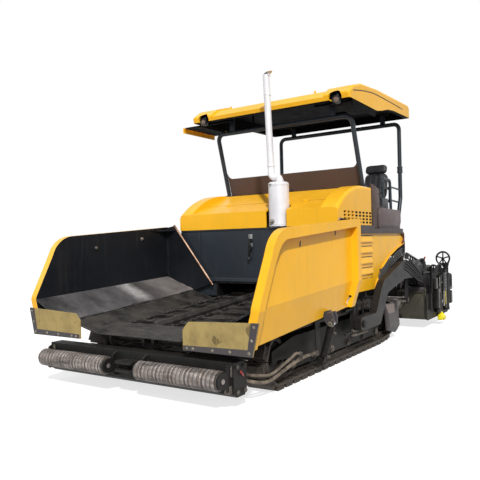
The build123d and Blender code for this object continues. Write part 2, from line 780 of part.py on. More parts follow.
def make_wing():
    with BuildPart() as recess:
        loft([wing_section(WING_FRONT + RIM, FOLD_FRONT + 5, BOTTOM_FRONT - 90, WING_SKIN),
              wing_section(WING_REAR - RIM, FOLD_REAR - 5, BOTTOM_REAR - 90, WING_SKIN)], ruled=True)
        extrude(wing_outline(RIM), amount=600, mode=Mode.INTERSECT)
    with BuildPart() as wing:
        loft([wing_section(WING_FRONT, FOLD_FRONT, BOTTOM_FRONT, 0),
              wing_section(WING_REAR, FOLD_REAR, BOTTOM_REAR, 0)], ruled=True)
        extrude(wing_outline(0), amount=500, mode=Mode.INTERSECT)
        add(recess.part, mode=Mode.SUBTRACT)
        # floor plate from the fold down to the hinge
        loft([floor_section(WING_FRONT, FOLD_FRONT), floor_section(WING_REAR, FOLD_REAR)], ruled=True)
        # three-cornered rear plate
        with BuildSketch(front(WING_REAR)):
            with BuildLine():
                Polyline(
                    (HINGE_X, hinge_at(WING_REAR) + 4), REAR_TIP, REAR_PEAK,
                    (WING_OUTER - WING_DEPTH + 5, 1690), (WING_OUTER - WING_DEPTH + 5, FOLD_REAR), close=True,
                )
            make_face()
        extrude(amount=WALL_THICK)
        # ribs under the floor plate
        for station in RIB_STATIONS:
            part = (station - WING_FRONT) / (WING_REAR - WING_FRONT)
            fold = FOLD_FRONT + part * (FOLD_REAR - FOLD_FRONT)
            bottom = BOTTOM_FRONT + part * (BOTTOM_REAR - BOTTOM_FRONT)
            wall = WING_OUTER - WING_DEPTH + 3
            with BuildSketch(front(station)):
                with BuildLine():
                    Polyline(
                        (HINGE_X + 110, hinge_at(station) + 50), (wall, fold - 4), (wall - TUCK, bottom + 10),
                        (wall - TUCK - 40, bottom + 60), close=True,
                    )
                make_face()
            extrude(amount=PLATE)
        # clearance round the fixed knuckles, then the wing's own
        for start, length in FIXED_KNUCKLES:
            along_hinge(start - KNUCKLE_GAP, length + 2 * KNUCKLE_GAP, KNUCKLE_RADIUS + KNUCKLE_SPACE,
                        mode=Mode.SUBTRACT)
        along_hinge(WING_FRONT - 20, WING_REAR - WING_FRONT + 40, KNUCKLE_RADIUS - 4, mode=Mode.SUBTRACT)
        for start, length in WING_KNUCKLES:
            along_hinge(start, length, KNUCKLE_RADIUS)
        along_hinge(WING_FRONT - 20, WING_REAR - WING_FRONT + 40, HINGE_PIN_RADIUS + PIN_CLEARANCE,
                    mode=Mode.SUBTRACT)
        # fork for the folding cylinder
        for start in (-FORK_HALF, FORK_HALF - FORK_EAR):
            with BuildSketch(fold_plane(start)):
                with BuildLine():
                    Polyline(*[(FOLD_EYE[0] + out, FOLD_EYE[1] + up) for out, up in FORK_OUTLINE], close=True)
                make_face()
            extrude(amount=FORK_EAR)
        with BuildSketch(fold_plane(-FORK_HALF)):
            with Locations((FOLD_EYE[0] - 40, FOLD_EYE[1] + 97)):
                Rectangle(90, 40)
        extrude(amount=2 * FORK_HALF)
    return wing.part


save_pair(make_wing(), "wing")


# ---- aprons: rubber flaps in a bolted frame on the wings' front edges ----
with BuildPart() as apron:
    with BuildSketch(front(WING_FRONT - SEAT_GAP)):
        with BuildLine():
            Polyline(
                (APRON_INNER, APRON_FOOT), (WING_OUTER - 70, APRON_FOOT), (WING_OUTER, 790),
                (APRON_INNER + 70, 760), (APRON_INNER, 690), close=True,
            )
        make_face()
    extrude(amount=APRON_FLAP)
    with BuildSketch(front(WING_FRONT - SEAT_GAP - APRON_FLAP)):
        with BuildLine():
            Polyline(
                (APRON_INNER + 10, APRON_FOOT), (WING_OUTER - 70, APRON_FOOT), (WING_OUTER, 790),
                (WING_OUTER - 75, 785),
                (WING_OUTER - 115, 560), (APRON_INNER + 10, 545), close=True,
            )
        make_face()
    extrude(amount=APRON_FRAME)
save_pair(apron.part, "apron")

# ---- folding cylinders of the wings, upright in a plane square to the hinge ----
def barrel_and_rod(base, pin_axis, eye, barrel_length, rod_hidden):
    """A cylinder from the base eye towards the rod's eye; both eyes turn about pin_axis."""
    run = (eye - base).length
    along = (eye - base).normalized()
    place = Plane(origin=base, x_dir=pin_axis, z_dir=along)
    across = Plane(origin=base, x_dir=along, z_dir=pin_axis)
    with BuildPart() as barrel:
        with BuildSketch(place.offset(BARREL_START)):
            Circle(BARREL_RADIUS)
        extrude(amount=barrel_length - BARREL_START)
        with BuildSketch(place):
            Rectangle(EYE_WIDTH, 56)
        extrude(amount=BARREL_START + 2)
        with BuildSketch(place.offset(barrel_length)):
            Circle(BARREL_RADIUS + 2)
        extrude(amount=-GLAND)
        with BuildSketch(place.offset(BARREL_START + 8)):
            Circle(BARREL_RADIUS - BARREL_WALL)
        extrude(amount=barrel_length - GLAND - BARREL_START - 8, mode=Mode.SUBTRACT)
        with BuildSketch(place.offset(barrel_length - GLAND - 10)):
            Circle(ROD_RADIUS + PIN_CLEARANCE)
        extrude(amount=GLAND + 20, mode=Mode.SUBTRACT)
        with BuildSketch(across):
            Circle(EYE_RADIUS)
        extrude(amount=EYE_WIDTH / 2, both=True)
        with BuildSketch(across):
            Circle(PIN_RADIUS + PIN_CLEARANCE)
        extrude(amount=EYE_WIDTH, both=True, mode=Mode.SUBTRACT)
    head = Plane(origin=eye, x_dir=along, z_dir=pin_axis)
    with BuildPart() as rod:
        with BuildSketch(place.offset(barrel_length - rod_hidden)):
            Circle(ROD_RADIUS)
        extrude(amount=run - barrel_length + rod_hidden - 20)
        with BuildSketch(head):
            Circle(ROD_HEAD)
        extrude(amount=ROD_RADIUS + 2, both=True)
        with BuildSketch(head):
            Circle(PIN_RADIUS + 1)
        extrude(amount=EYE_WIDTH, both=True, mode=Mode.SUBTRACT)
    return barrel.part, rod.part


fold_barrel, fold_rod = barrel_and_rod(
    fold_plane(0).from_local_coords(Vector(*FOLD_BASE)), Vector(0, 1, RISE).normalized(),
    fold_plane(0).from_local_coords(Vector(*FOLD_EYE)), FOLD_BARREL, FOLD_HIDDEN,
)
save_pair(fold_barrel, "wing_cylinder")
save_pair(fold_rod, "wing_rod")

def make_cylinder_bracket():
    """The bracket that carries the folding cylinder's base outside the track."""
    half = EYE_WIDTH / 2 + 5
    ear = 14
    root = FRAME_OUTER
    x, z = FOLD_BASE
    with BuildPart() as bracket:
        for start in (-half - ear, half):
            with BuildSketch(fold_plane(start)):
                with BuildLine():
                    Polyline(
                        (OUTSIDE_TRACK, z - 50), (x + 20, z - 50), (x + 38, z), (x, z + 42), (x - 38, z + 50),
                        (OUTSIDE_TRACK, z + 90), close=True,
                    )
                make_face()
            extrude(amount=ear)
        with BuildSketch(fold_plane(-half - ear)):
            with Locations((OUTSIDE_TRACK, z - 50)):
                Rectangle(10, ARM_LOW + 22 - z + 50, align=Align.MIN)
            # arm over the track to the main frame
            with BuildLine():
                Polyline(
                    (root, ARM_LOW - 100), (root, ARM_LOW), (885, ARM_LOW + 30),
                    (OUTSIDE_TRACK + 10, ARM_LOW + 30), (OUTSIDE_TRACK + 10, ARM_LOW), (890, ARM_LOW),
                    close=True,
                )
            make_face()
            with Locations(FOLD_BASE):
                Circle(PIN_RADIUS)
        extrude(amount=2 * (half + ear))
    return bracket.part


save_both(make_cylinder_bracket(), "cylinder_brackets")


# ================= engine and hood =================
with BuildPart() as engine_block:
    with BuildSketch(side(-ENGINE_HALF)):
        with BuildLine():
            Polyline(
                (ENGINE[0], floor_at(ENGINE[0]) + TUNNEL_HEIGHT),
                (ENGINE[1], floor_at(ENGINE[1]) + TUNNEL_HEIGHT),
                (ENGINE[1], ENGINE[2]), (ENGINE[0], ENGINE[2]), close=True,
            )
        make_face()
    extrude(amount=2 * ENGINE_HALF)
save(engine_block.part, "engine_block")

with BuildPart() as engine_hood:
    with BuildSketch(side(-BODY_HALF)):
        with BuildLine():
            low = Line((HOOD_FRONT, WALL_TOP), (HOOD_FRONT, HOOD_CREASE))
            crown = ThreePointArc((HOOD_FRONT, HOOD_CREASE), (2420, 2050), HOOD_CROWN)
            back = Line(crown @ 1, (HOOD_REAR, HOOD_CROWN[1]))
            Polyline(back @ 1, (HOOD_REAR, WALL_TOP), low @ 0)
        make_face()
    extrude(amount=2 * BODY_HALF)
    top_edges = engine_hood.edges().filter_by(
        lambda edge: abs(abs(edge.center().X) - BODY_HALF) < 1 and edge.center().Z > 1870
    )
    fillet(top_edges, 45)
    # the middle panel runs straight from the crease to the top, below the curve of the sides
    with BuildSketch(side(-HOOD_MIDDLE)):
        with BuildLine():
            Polyline(
                (HOOD_FRONT - 10, HOOD_CREASE - 4), HOOD_CROWN, (HOOD_CROWN[0], HOOD_CROWN[1] + 100),
                (HOOD_FRONT - 10, HOOD_CROWN[1] + 100), close=True,
            )
        make_face()
    extrude(amount=2 * HOOD_MIDDLE, mode=Mode.SUBTRACT)
    with BuildSketch(side(-BODY_HALF + HOOD_SKIN)):
        with BuildLine():
            Polyline(
                (HOOD_FRONT + HOOD_SKIN, WALL_TOP - 10), (HOOD_FRONT + HOOD_SKIN, HOOD_CREASE - HOOD_SKIN),
                (HOOD_CROWN[0], HOOD_CROWN[1] - HOOD_SKIN - 4),
                (HOOD_REAR - HOOD_SKIN, HOOD_CROWN[1] - HOOD_SKIN),
                (HOOD_REAR - HOOD_SKIN, WALL_TOP - 10), close=True,
            )
        make_face()
    extrude(amount=2 * (BODY_HALF - HOOD_SKIN), mode=Mode.SUBTRACT)
    # bay in the front for the muffler
    with BuildSketch(level(WALL_TOP)):
        with Locations(MUFFLER):
            Circle(MUFFLER_RADIUS + MUFFLER_BAY)
        with Locations((MUFFLER[0], MUFFLER[1] - 100)):
            Rectangle(2 * (MUFFLER_RADIUS + MUFFLER_BAY), 200)
    extrude(amount=420, mode=Mode.SUBTRACT)
    # cooling grille in both sides
    with BuildSketch(side(-BODY_HALF - 5)):
        with Locations((2730, 1740)):
            with GridLocations(112, 42, 8, 4):
                SlotOverall(78, 26)
    extrude(amount=2 * BODY_HALF + 10, mode=Mode.SUBTRACT)
save(engine_hood.part, "engine_hood")

with BuildPart() as muffler:
    with BuildSketch(level(WALL_TOP)):
        with Locations(MUFFLER):
            Rectangle(200, 150)
    extrude(amount=20)
    with BuildSketch(level(WALL_TOP + 18)):
        with Locations(MUFFLER):
            Circle(MUFFLER_RADIUS)
    extrude(amount=COLLAR[0] - WALL_TOP - 18)
    fillet(muffler.edges().filter_by(GeomType.CIRCLE).sort_by(Axis.Z)[-1], 18)
    with BuildSketch(level(COLLAR[0] - 2)):
        with Locations((OUTLET_X, MUFFLER[1])):
            Circle(PIPE_RADIUS + 10)
    extrude(amount=COLLAR[1] - COLLAR[0] + 2)
save(muffler.part, "muffler")


def exhaust_route(radius):
    top_x = PIPE_X + PIPE_LEAN * (PIPE_TOP - CROSSOVER)
    return tube_along(
        [at(OUTLET_X, MUFFLER[1], COLLAR[1]), at(OUTLET_X, MUFFLER[1], CROSSOVER),
         at(PIPE_X, MUFFLER[1], CROSSOVER), at(top_x, MUFFLER[1], PIPE_TOP)], radius, ELBOW,
    )


with BuildPart() as exhaust_pipe:
    add(exhaust_route(PIPE_RADIUS))
    add(exhaust_route(PIPE_RADIUS - PIPE_WALL), mode=Mode.SUBTRACT)
    mouth = Plane(
        origin=at(PIPE_X + PIPE_LEAN * (PIPE_TOP - CROSSOVER), MUFFLER[1], PIPE_TOP),
        x_dir=(1, 0, -PIPE_LEAN), z_dir=(PIPE_LEAN, 0, 1),
    )
    # rain cap, tipped open, with its hinge plate
    with BuildSketch(Plane(origin=mouth.origin + Vector(30, 0, 20), x_dir=(1, 0, 0.35), z_dir=(-0.35, 0, 1))):
        Ellipse(60, 50)
    extrude(amount=6)
    with BuildSketch(mouth.offset(-20)):
        with Locations((PIPE_RADIUS + 1, 0)):
            Rectangle(8, 50)
    extrude(amount=50)
save(exhaust_pipe.part, "exhaust_pipe")


# ================= side panels and doors =================
def make_side_panel():
    with BuildPart() as panel:
        with BuildSketch(side(BODY_HALF - PLATE)):
            with BuildLine():
                Polyline(
                    (WALL_STATION + WALL_THICK, PANEL_LOW), *ARCH, (PANEL_REAR, PLATFORM_TOP - PLATFORM_THICK),
                    (PLATFORM_FRONT, PLATFORM_TOP - PLATFORM_THICK), (PLATFORM_FRONT, WALL_TOP),
                    (WALL_STATION + WALL_THICK, WALL_TOP), close=True,
                )
            make_face()
            with Locations(((DOOR_FRONT + DOOR_REAR) / 2, (DOOR_LOW + DOOR_HIGH) / 2)):
                Rectangle(DOOR_REAR - DOOR_FRONT + 2 * DOOR_GAP, DOOR_HIGH - DOOR_LOW + 2 * DOOR_GAP,
                          mode=Mode.SUBTRACT)
        extrude(amount=PLATE)
        # flange that follows the arch
        with BuildSketch(side(BODY_HALF - ARCH_DEPTH)):
            with BuildLine():
                Polyline(*ARCH, *[(station - 6, z + PLATE) for station, z in reversed(ARCH)], close=True)
            make_face()
        extrude(amount=ARCH_DEPTH + ARCH_LIP)
    return panel.part


def make_louvre_door():
    with BuildPart() as door:
        with BuildSketch(side(BODY_HALF - PLATE)):
            with Locations(((DOOR_FRONT + DOOR_REAR) / 2, (DOOR_LOW + DOOR_HIGH) / 2)):
                RectangleRounded(DOOR_REAR - DOOR_FRONT, DOOR_HIGH - DOOR_LOW, 12)
        extrude(amount=PLATE)
        # pressed louvres, open downward
        for row in range(4):
            low = DOOR_LOW + 50 + row * 140
            with BuildSketch(front(DOOR_FRONT + 490)):
                with BuildLine():
                    Polyline(
                        (BODY_HALF - 2, low), (BODY_HALF + 20, low), (BODY_HALF + 20, low + 14),
                        (BODY_HALF - 2, low + 80), close=True,
                    )
                make_face()
            extrude(amount=440)
        for low in HINGE_HEIGHTS:
            with BuildSketch(level(low)):
                with Locations(DOOR_AXIS):
                    Circle(DOOR_KNUCKLE)
                with Locations((BODY_HALF + 4, DOOR_FRONT + 8)):
                    Rectangle(8, 24)
            extrude(amount=DOOR_LEAF)
    return door.part


def make_panel_hinges(panel):
    """The fixed knuckles stand under the door's."""
    with BuildPart() as hinged:
        add(panel)
        for low in HINGE_HEIGHTS:
            with BuildSketch(level(low - DOOR_LEAF - 0.5)):
                with Locations(DOOR_AXIS):
                    Circle(DOOR_KNUCKLE)
                with Locations((BODY_HALF + 4, DOOR_FRONT - 18)):
                    Rectangle(8, 28)
            extrude(amount=DOOR_LEAF)
    return hinged.part


save_both(make_panel_hinges(make_side_panel()), "side_panels")
save_pair(make_louvre_door(), "louvre_door")


# ================= platform, consoles and seats =================
with BuildPart() as platform:
    with BuildSketch(level(PLATFORM_TOP - PLATFORM_THICK)):
        with Locations((0, PLATFORM_FRONT)):
            Rectangle(2 * PLATFORM_HALF, PLATFORM_REAR - PLATFORM_FRONT, align=(Align.CENTER, Align.MIN))
        with Locations((0, PLATFORM_FRONT - 10)):
            Rectangle(2 * (BODY_HALF - PLATE), HOOD_REAR - PLATFORM_FRONT - 10,
                      align=(Align.CENTER, Align.MIN), mode=Mode.SUBTRACT)
    extrude(amount=PLATFORM_THICK)
    with BuildSketch(level(PLATFORM_TOP)):
        for hand in (-1, 1):
            ledge = PLATFORM_HALF - BODY_HALF + LEDGE_LAP
            with Locations((hand * (PLATFORM_HALF - ledge / 2), PLATFORM_FRONT)):
                Rectangle(ledge, HOOD_REAR - PLATFORM_FRONT, align=(Align.CENTER, Align.MIN))
    extrude(amount=WALL_TOP - PLATFORM_TOP)
save(platform.part, "platform")

with BuildPart() as dashboard:
    with BuildSketch(side(-DASH_HALF)):
        with BuildLine():
            Polyline(
                (HOOD_REAR, PLATFORM_TOP), (3330, PLATFORM_TOP), (3400, 1900),
                (3380, DASH_TOP - 60), (3230, DASH_TOP),
                (HOOD_REAR, DASH_TOP), close=True,
            )
        make_face()
    extrude(amount=2 * DASH_HALF)
save(dashboard.part, "dashboard")


def make_side_console():
    with BuildPart() as console:
        with BuildSketch(side(CONSOLE_X)):
            with BuildLine():
                Polyline(
                    (3420, PLATFORM_TOP), (4240, PLATFORM_TOP), (4240, 1840), (4200, 1860), (3490, 1860),
                    (3420, 1800), close=True,
                )
            make_face()
        extrude(amount=CONSOLE_WIDTH)
        with BuildSketch(side(CONSOLE_X + 30)):
            with Locations((3800, 1730)):
                RectangleRounded(600, 180, 30)
        extrude(amount=-60)
    return console.part


save_both(make_side_console(), "side_consoles")

def make_seat():
    """A plain closed seat: cushion, back, headrest and pedestal."""
    with BuildPart() as seat:
        with BuildSketch(side(SEAT_X - SEAT_HALF)):
            with BuildLine():
                Polyline(
                    (SEAT_FRONT, 1960), (SEAT_FRONT + 20, 1935), (SEAT_FRONT + 440, 1920),
                    (SEAT_FRONT + 500, 1990), (SEAT_FRONT + 590, 2500), (SEAT_FRONT + 575, 2560),
                    (SEAT_FRONT + 510, 2560), (SEAT_FRONT + 420, 2060), (SEAT_FRONT + 20, 2060), close=True,
                )
            make_face()
        extrude(amount=2 * SEAT_HALF)
        with BuildSketch(side(SEAT_X - HEADREST_HALF)):
            with Locations((SEAT_FRONT + 560, 2640)):
                RectangleRounded(80, 170, 30)
        extrude(amount=2 * HEADREST_HALF)
        with BuildSketch(level(PLATFORM_TOP + SEAT_GAP)):
            with Locations((SEAT_X, SEAT_FRONT + 250)):
                RectangleRounded(260, 300, 40)
        extrude(amount=340)
    return seat.part


save_both(make_seat(), "seats")


# ================= canopy =================
with BuildPart() as canopy_frame:
    add(tube_along(
        [at(-PORTAL_X, PORTAL_FOOT, POST_PLATE[1] - 5), at(15 - PORTAL_X, *PORTAL_TOP),
         at(PORTAL_X - 15, *PORTAL_TOP), at(PORTAL_X, PORTAL_FOOT, POST_PLATE[1] - 5)], TUBE_RADIUS, 110,
    ))
    for hand in (-1, 1):
        with BuildSketch(level(POST_PLATE[0])):
            with Locations((hand * PORTAL_X, PORTAL_FOOT - 5)):
                Rectangle(150, 120)
        extrude(amount=POST_PLATE[1] - POST_PLATE[0])
        with BuildSketch(front(PORTAL_TOP[0] + HANGER_THICK / 2)):
            with Locations((hand * HANGER_X, PORTAL_TOP[1])):
                Rectangle(HANGER_WIDTH, 3400 - PORTAL_TOP[1], align=(Align.CENTER, Align.MIN))
        extrude(amount=HANGER_THICK)

# low screen between the posts, with rounded corners where its window begins
with BuildPart() as screen_panel:
    with BuildSketch(Plane(
        origin=at(0, PORTAL_FOOT + 17, SCREEN_LOW), x_dir=(1, 0, 0), z_dir=(0, -1, -SCREEN_TILT)
    )):
        Rectangle(2 * SCREEN_HALF, SCREEN_HEIGHT, align=(Align.CENTER, Align.MIN))
        for hand in (-1, 1):
            with Locations((hand * (SCREEN_HALF - SCREEN_CORNER / 2), SCREEN_HEIGHT)):
                Rectangle(SCREEN_CORNER, SCREEN_CORNER, align=(Align.CENTER, Align.MIN))
        corner = (SCREEN_HALF - SCREEN_CORNER, SCREEN_HEIGHT + SCREEN_CORNER)
        with Locations(corner, (-corner[0], corner[1])):
            Circle(SCREEN_CORNER, mode=Mode.SUBTRACT)
    extrude(amount=PLATE)
save(screen_panel.part, "screen_panel")

with BuildPart() as rear_frame:
    add(tube_along(
        [at(-REAR_POST_X, *REAR_FOOT), at(-REAR_POST_X, 4560, 1700), at(-REAR_POST_X, REAR_POST, 2100),
         at(-REAR_POST_X, REAR_POST, REAR_RAIL), at(REAR_POST_X, REAR_POST, REAR_RAIL),
         at(REAR_POST_X, REAR_POST, 2100), at(REAR_POST_X, 4560, 1700), at(REAR_POST_X, *REAR_FOOT)],
        TUBE_RADIUS, 90,
    ))
    for hand in (-1, 1):
        with BuildSketch(level(2500)):
            with Locations((hand * REAR_POST_X, REAR_POST)):
                Circle(TUBE_RADIUS + 10)
        extrude(amount=90)
        with BuildSketch(front(REAR_FOOT[0])):
            with Locations((hand * REAR_POST_X, REAR_FOOT[1])):
                Rectangle(130, 62)
        extrude(amount=REAR_FOOT[0] - PLATFORM_REAR)
        with BuildSketch(front(REAR_POST + HANGER_THICK / 2)):
            with Locations((hand * HANGER_X, REAR_RAIL)):
                Rectangle(HANGER_WIDTH, 3450 - REAR_RAIL, align=(Align.CENTER, Align.MIN))
        extrude(amount=HANGER_THICK)

with BuildPart() as canopy_frames:
    add(canopy_frame.part)
    add(rear_frame.part)
save(canopy_frames.part, "canopy_frames")

with BuildPart() as roof:
    with BuildSketch(side(-ROOF_HALF)) as roof_side:
        with BuildLine():
            Polyline(
                (ROOF_FRONT, 3225), (3380, 3215), (3570, 3250), (3800, 3310), (4050, 3335), (ROOF_REAR, 3350),
                (ROOF_REAR, 3500), (ROOF_REAR - 60, 3545), (3450, 3520), (2880, 3478), (2640, 3410),
                (ROOF_FRONT - 20, 3300), close=True,
            )
        make_face()
        for corner, radius in (((2640, 3410), 90), ((ROOF_FRONT - 20, 3300), 30), ((2880, 3478), 300),
                               ((ROOF_REAR - 60, 3545), 40)):
            fillet(roof_side.vertices().sort_by_distance(corner)[0], radius)
    extrude(amount=2 * ROOF_HALF)
    fillet(roof.edges().filter_by(lambda e: abs(abs(e.center().X) - ROOF_HALF) < 1 and e.center().Z > 3380), 30)
    # the middle lies a step lower than the corners
    with BuildSketch(side(-ROOF_CAP)):
        with BuildLine():
            Polyline(
                (ROOF_FRONT - 30, 3290 - ROOF_STEP), (2625, 3408 - ROOF_STEP), (2870, 3475 - ROOF_STEP),
                (3250, 3506 - ROOF_STEP), (3450, 3520), (3450, 3600), (ROOF_FRONT - 30, 3600), close=True,
            )
        make_face()
    extrude(amount=2 * ROOF_CAP, mode=Mode.SUBTRACT)
    # notches for the lamps
    for x in (-LAMP[0], LAMP[0]):
        with BuildSketch(front(ROOF_FRONT + 85)) as notch:
            with Locations((x, LAMP[1])):
                Circle(LAMP_NOTCH)
        extrude(notch.sketch, amount=140, mode=Mode.SUBTRACT)
    # hollow below
    with BuildSketch(side(-ROOF_HALF + ROOF_WALL)):
        with BuildLine():
            Polyline(
                (ROOF_FRONT + 90, 3100), (ROOF_REAR - 22, 3100), (ROOF_REAR - 22, 3450), (3400, 3450),
                (2960, 3400), (2760, 3400), (ROOF_FRONT + 100, 3340), close=True,
            )
        make_face()
    extrude(amount=2 * (ROOF_HALF - ROOF_WALL), mode=Mode.SUBTRACT)
    # runners for the awnings
    for station in (2680, 3250):
        with BuildSketch(front(station)):
            for hand in (-1, 1):
                with Locations((hand * RUNNER[0], RUNNER[1])):
                    Rectangle(560, RUNNER_THICK)
                with Locations((hand * (RUNNER[0] - 270), RUNNER[1])):
                    Rectangle(20, 200, align=(Align.CENTER, Align.MIN))
        extrude(amount=24)
save(roof.part, "canopy_roof")

# sliding sun awnings under the roof's sides; the right one is drawn out
with BuildPart() as awning:
    with BuildSketch(front(AWNING_REAR)):
        with BuildLine():
            Polyline(
                (ROOF_HALF - AWNING_WIDTH, 3190), (ROOF_HALF - 20, 3190), (ROOF_HALF - 20, 3130),
                (ROOF_HALF, 3130), (ROOF_HALF, AWNING_TOP), (ROOF_HALF - AWNING_WIDTH, AWNING_TOP), close=True,
            )
        make_face()
    extrude(amount=AWNING_LENGTH)
save(awning.part, "awning_left")
with BuildPart() as awning_right:
    with Locations((-AWNING_TRAVEL, 0, 0)):
        add(mirror(awning.part, about=Plane.YZ, mode=Mode.PRIVATE))
save(awning_right.part, "awning_right")


# ================= tow points and tow arms =================
def make_tow_point():
    """The upright guide outside the track that carries the tow arm's pin."""
    with BuildPart() as tow_point:
        with BuildSketch(side(OUTSIDE_TRACK)):
            with Locations((TOW_POINT[0], OVER_TRACK)):
                Rectangle(130, OVER_TRACK - 290, align=(Align.CENTER, Align.MAX))
        extrude(amount=GUIDE_THICK)
        for station in (TOW_POINT[0] - 65, TOW_POINT[0] + 45):
            with BuildSketch(side(OUTSIDE_TRACK + GUIDE_THICK)):
                with Locations((station + 10, OVER_TRACK)):
                    Rectangle(20, 200, align=(Align.CENTER, Align.MAX))
            extrude(amount=12)
        cylinder_along(OUTSIDE_TRACK + GUIDE_THICK, ARM_INNER + ARM_WIDTH + 22, TOW_POINT, TOW_PIN_RADIUS)
        cylinder_along(ARM_INNER + ARM_WIDTH + 6, ARM_INNER + ARM_WIDTH + 20, TOW_POINT, TOW_PIN_RADIUS + 14)
        # foot rungs in front of the guide
        for z in (330, 610):
            with BuildSketch(side(OUTSIDE_TRACK)):
                with Locations((TOW_POINT[0] - 170, z)):
                    RectangleRounded(220, 24, 8)
            extrude(amount=40)
    return tow_point.part


save_both(make_tow_point(), "tow_points")


def make_tow_arm():
    with BuildPart() as arm:
        with BuildSketch(side(ARM_INNER)) as outline:
            with BuildLine():
                Polyline(
                    (2375, 345), (3000, 345), (3290, 735), (3960, 870), (4760, 850), (4915, 660), (4915, 300),
                    (5300, 300), (5300, 760), (4930, 1010), (4560, 1120), (3880, 1120), (3120, 890),
                    (2870, 510), (2375, 510), close=True,
                )
            make_face()
            for at_corner, radius in (
                ((3000, 345), 140), ((3290, 735), 160), ((3960, 870), 300), ((4760, 850), 120),
                ((5300, 760), 60), ((4930, 1010), 160), ((4560, 1120), 300), ((3880, 1120), 400),
                ((3120, 890), 260), ((2870, 510), 90), ((2375, 345), 50), ((2375, 510), 50),
            ):
                fillet(outline.vertices().sort_by_distance(at_corner)[0], radius)
            with Locations(TOW_POINT):
                Circle(TOW_PIN_RADIUS + PIN_CLEARANCE, mode=Mode.SUBTRACT)
        extrude(amount=ARM_WIDTH)
        # block that meets the screed's end plate
        with BuildSketch(side(SCREED_HALF)):
            with Locations((5110, 480)):
                RectangleRounded(300, 280, 20)
        extrude(amount=ARM_INNER - SCREED_HALF)
    return arm.part


save_both(make_tow_arm(), "tow_arms")


def make_sprocket_guard():
    """Slanted cover outside the sprocket, on an arm that passes behind the track."""
    with BuildPart() as guard:
        with BuildSketch(side(GUARD_X)):
            with BuildLine():
                Polyline(
                    (3500, 545), (3850, 530), (4070, 275), (4070, 160), (3900, 90), (3570, 170), close=True,
                )
            make_face()
        extrude(amount=GUARD_THICK)
        with BuildSketch(side(FRAME_OUTER)):
            with BuildLine():
                Polyline((3985, 500), (4065, 500), (4065, 560), (3985, 560), close=True)
            make_face()
        extrude(amount=GUARD_X + GUARD_THICK - FRAME_OUTER)
        with BuildSketch(side(GUARD_X - 12)):
            with BuildLine():
                Polyline((3985, 260), (4065, 240), (4065, 560), (3985, 560), close=True)
            make_face()
        extrude(amount=GUARD_THICK + 12)
    return guard.part


save_both(make_sprocket_guard(), "sprocket_guards")


# ================= augers =================
def make_auger():
    """A shaft with a full-turn helical flight, made as a twisted sector."""
    start = AUGER_FROM
    length = AUGER_TO - AUGER_FROM
    with BuildPart() as auger:
        cylinder_along(start, start + length, AUGER, AUGER_SHAFT)
        sector = 360 * 14 / AUGER_PITCH
        with BuildSketch(mode=Mode.PRIVATE) as blade:
            with BuildLine():
                inner_arc = CenterArc((0, 0), AUGER_SHAFT - 6, -sector / 2, sector)
                outer_arc = CenterArc((0, 0), AUGER_RADIUS, -sector / 2, sector)
                Line(inner_arc @ 0, outer_arc @ 0)
                Line(inner_arc @ 1, outer_arc @ 1)
            make_face()
        place = side(start + AUGER_MARGIN).location * Location((AUGER[0], AUGER[1], 0))
        turned = Solid.extrude_linear_with_rotation(
            place * blade.sketch.faces()[0],
            center=place.position,
            normal=Vector(length - 2 * AUGER_MARGIN, 0, 0),
            angle=360 * (length - 2 * AUGER_MARGIN) / AUGER_PITCH,
        )
        add(turned)
    return auger.part


save_pair(make_auger(), "auger")

with BuildPart() as auger_carrier:
    with BuildSketch(side(-GEARBOX_HALF)):
        with BuildLine():
            Polyline(
                (4372, 700), (4372, 980), (4430, 980), (4640, 660), (4660, 430), (4600, 380), (4490, 380),
                (4430, 430), (4400, 620), close=True,
            )
        make_face()
    extrude(amount=2 * GEARBOX_HALF)
    for hand in (-1, 1):
        with BuildSketch(side(hand * (SCREED_HALF - 6) - EAR / 2)):
            with Locations(AUGER):
                Circle(70)
            with Locations((4470, 760)):
                Rectangle(150, 460)
        extrude(amount=EAR)
    with BuildSketch(side(-SCREED_HALF - 2)):
        with Locations((FRAME_REAR + PLATE, 1000)):
            Rectangle(130, 110, align=(Align.MIN, Align.CENTER))
    extrude(amount=2 * SCREED_HALF + 4)
    for x_from, x_to in ((AUGER_FROM - 4, GEARBOX_HALF + 1), (SCREED_HALF - 20, SCREED_HALF + 10)):
        for low, high in ((x_from, x_to), (-x_to, -x_from)):
            cylinder_along(low, high, AUGER, AUGER_SHAFT + PIN_CLEARANCE, mode=Mode.SUBTRACT)
save(auger_carrier.part, "auger_carrier")


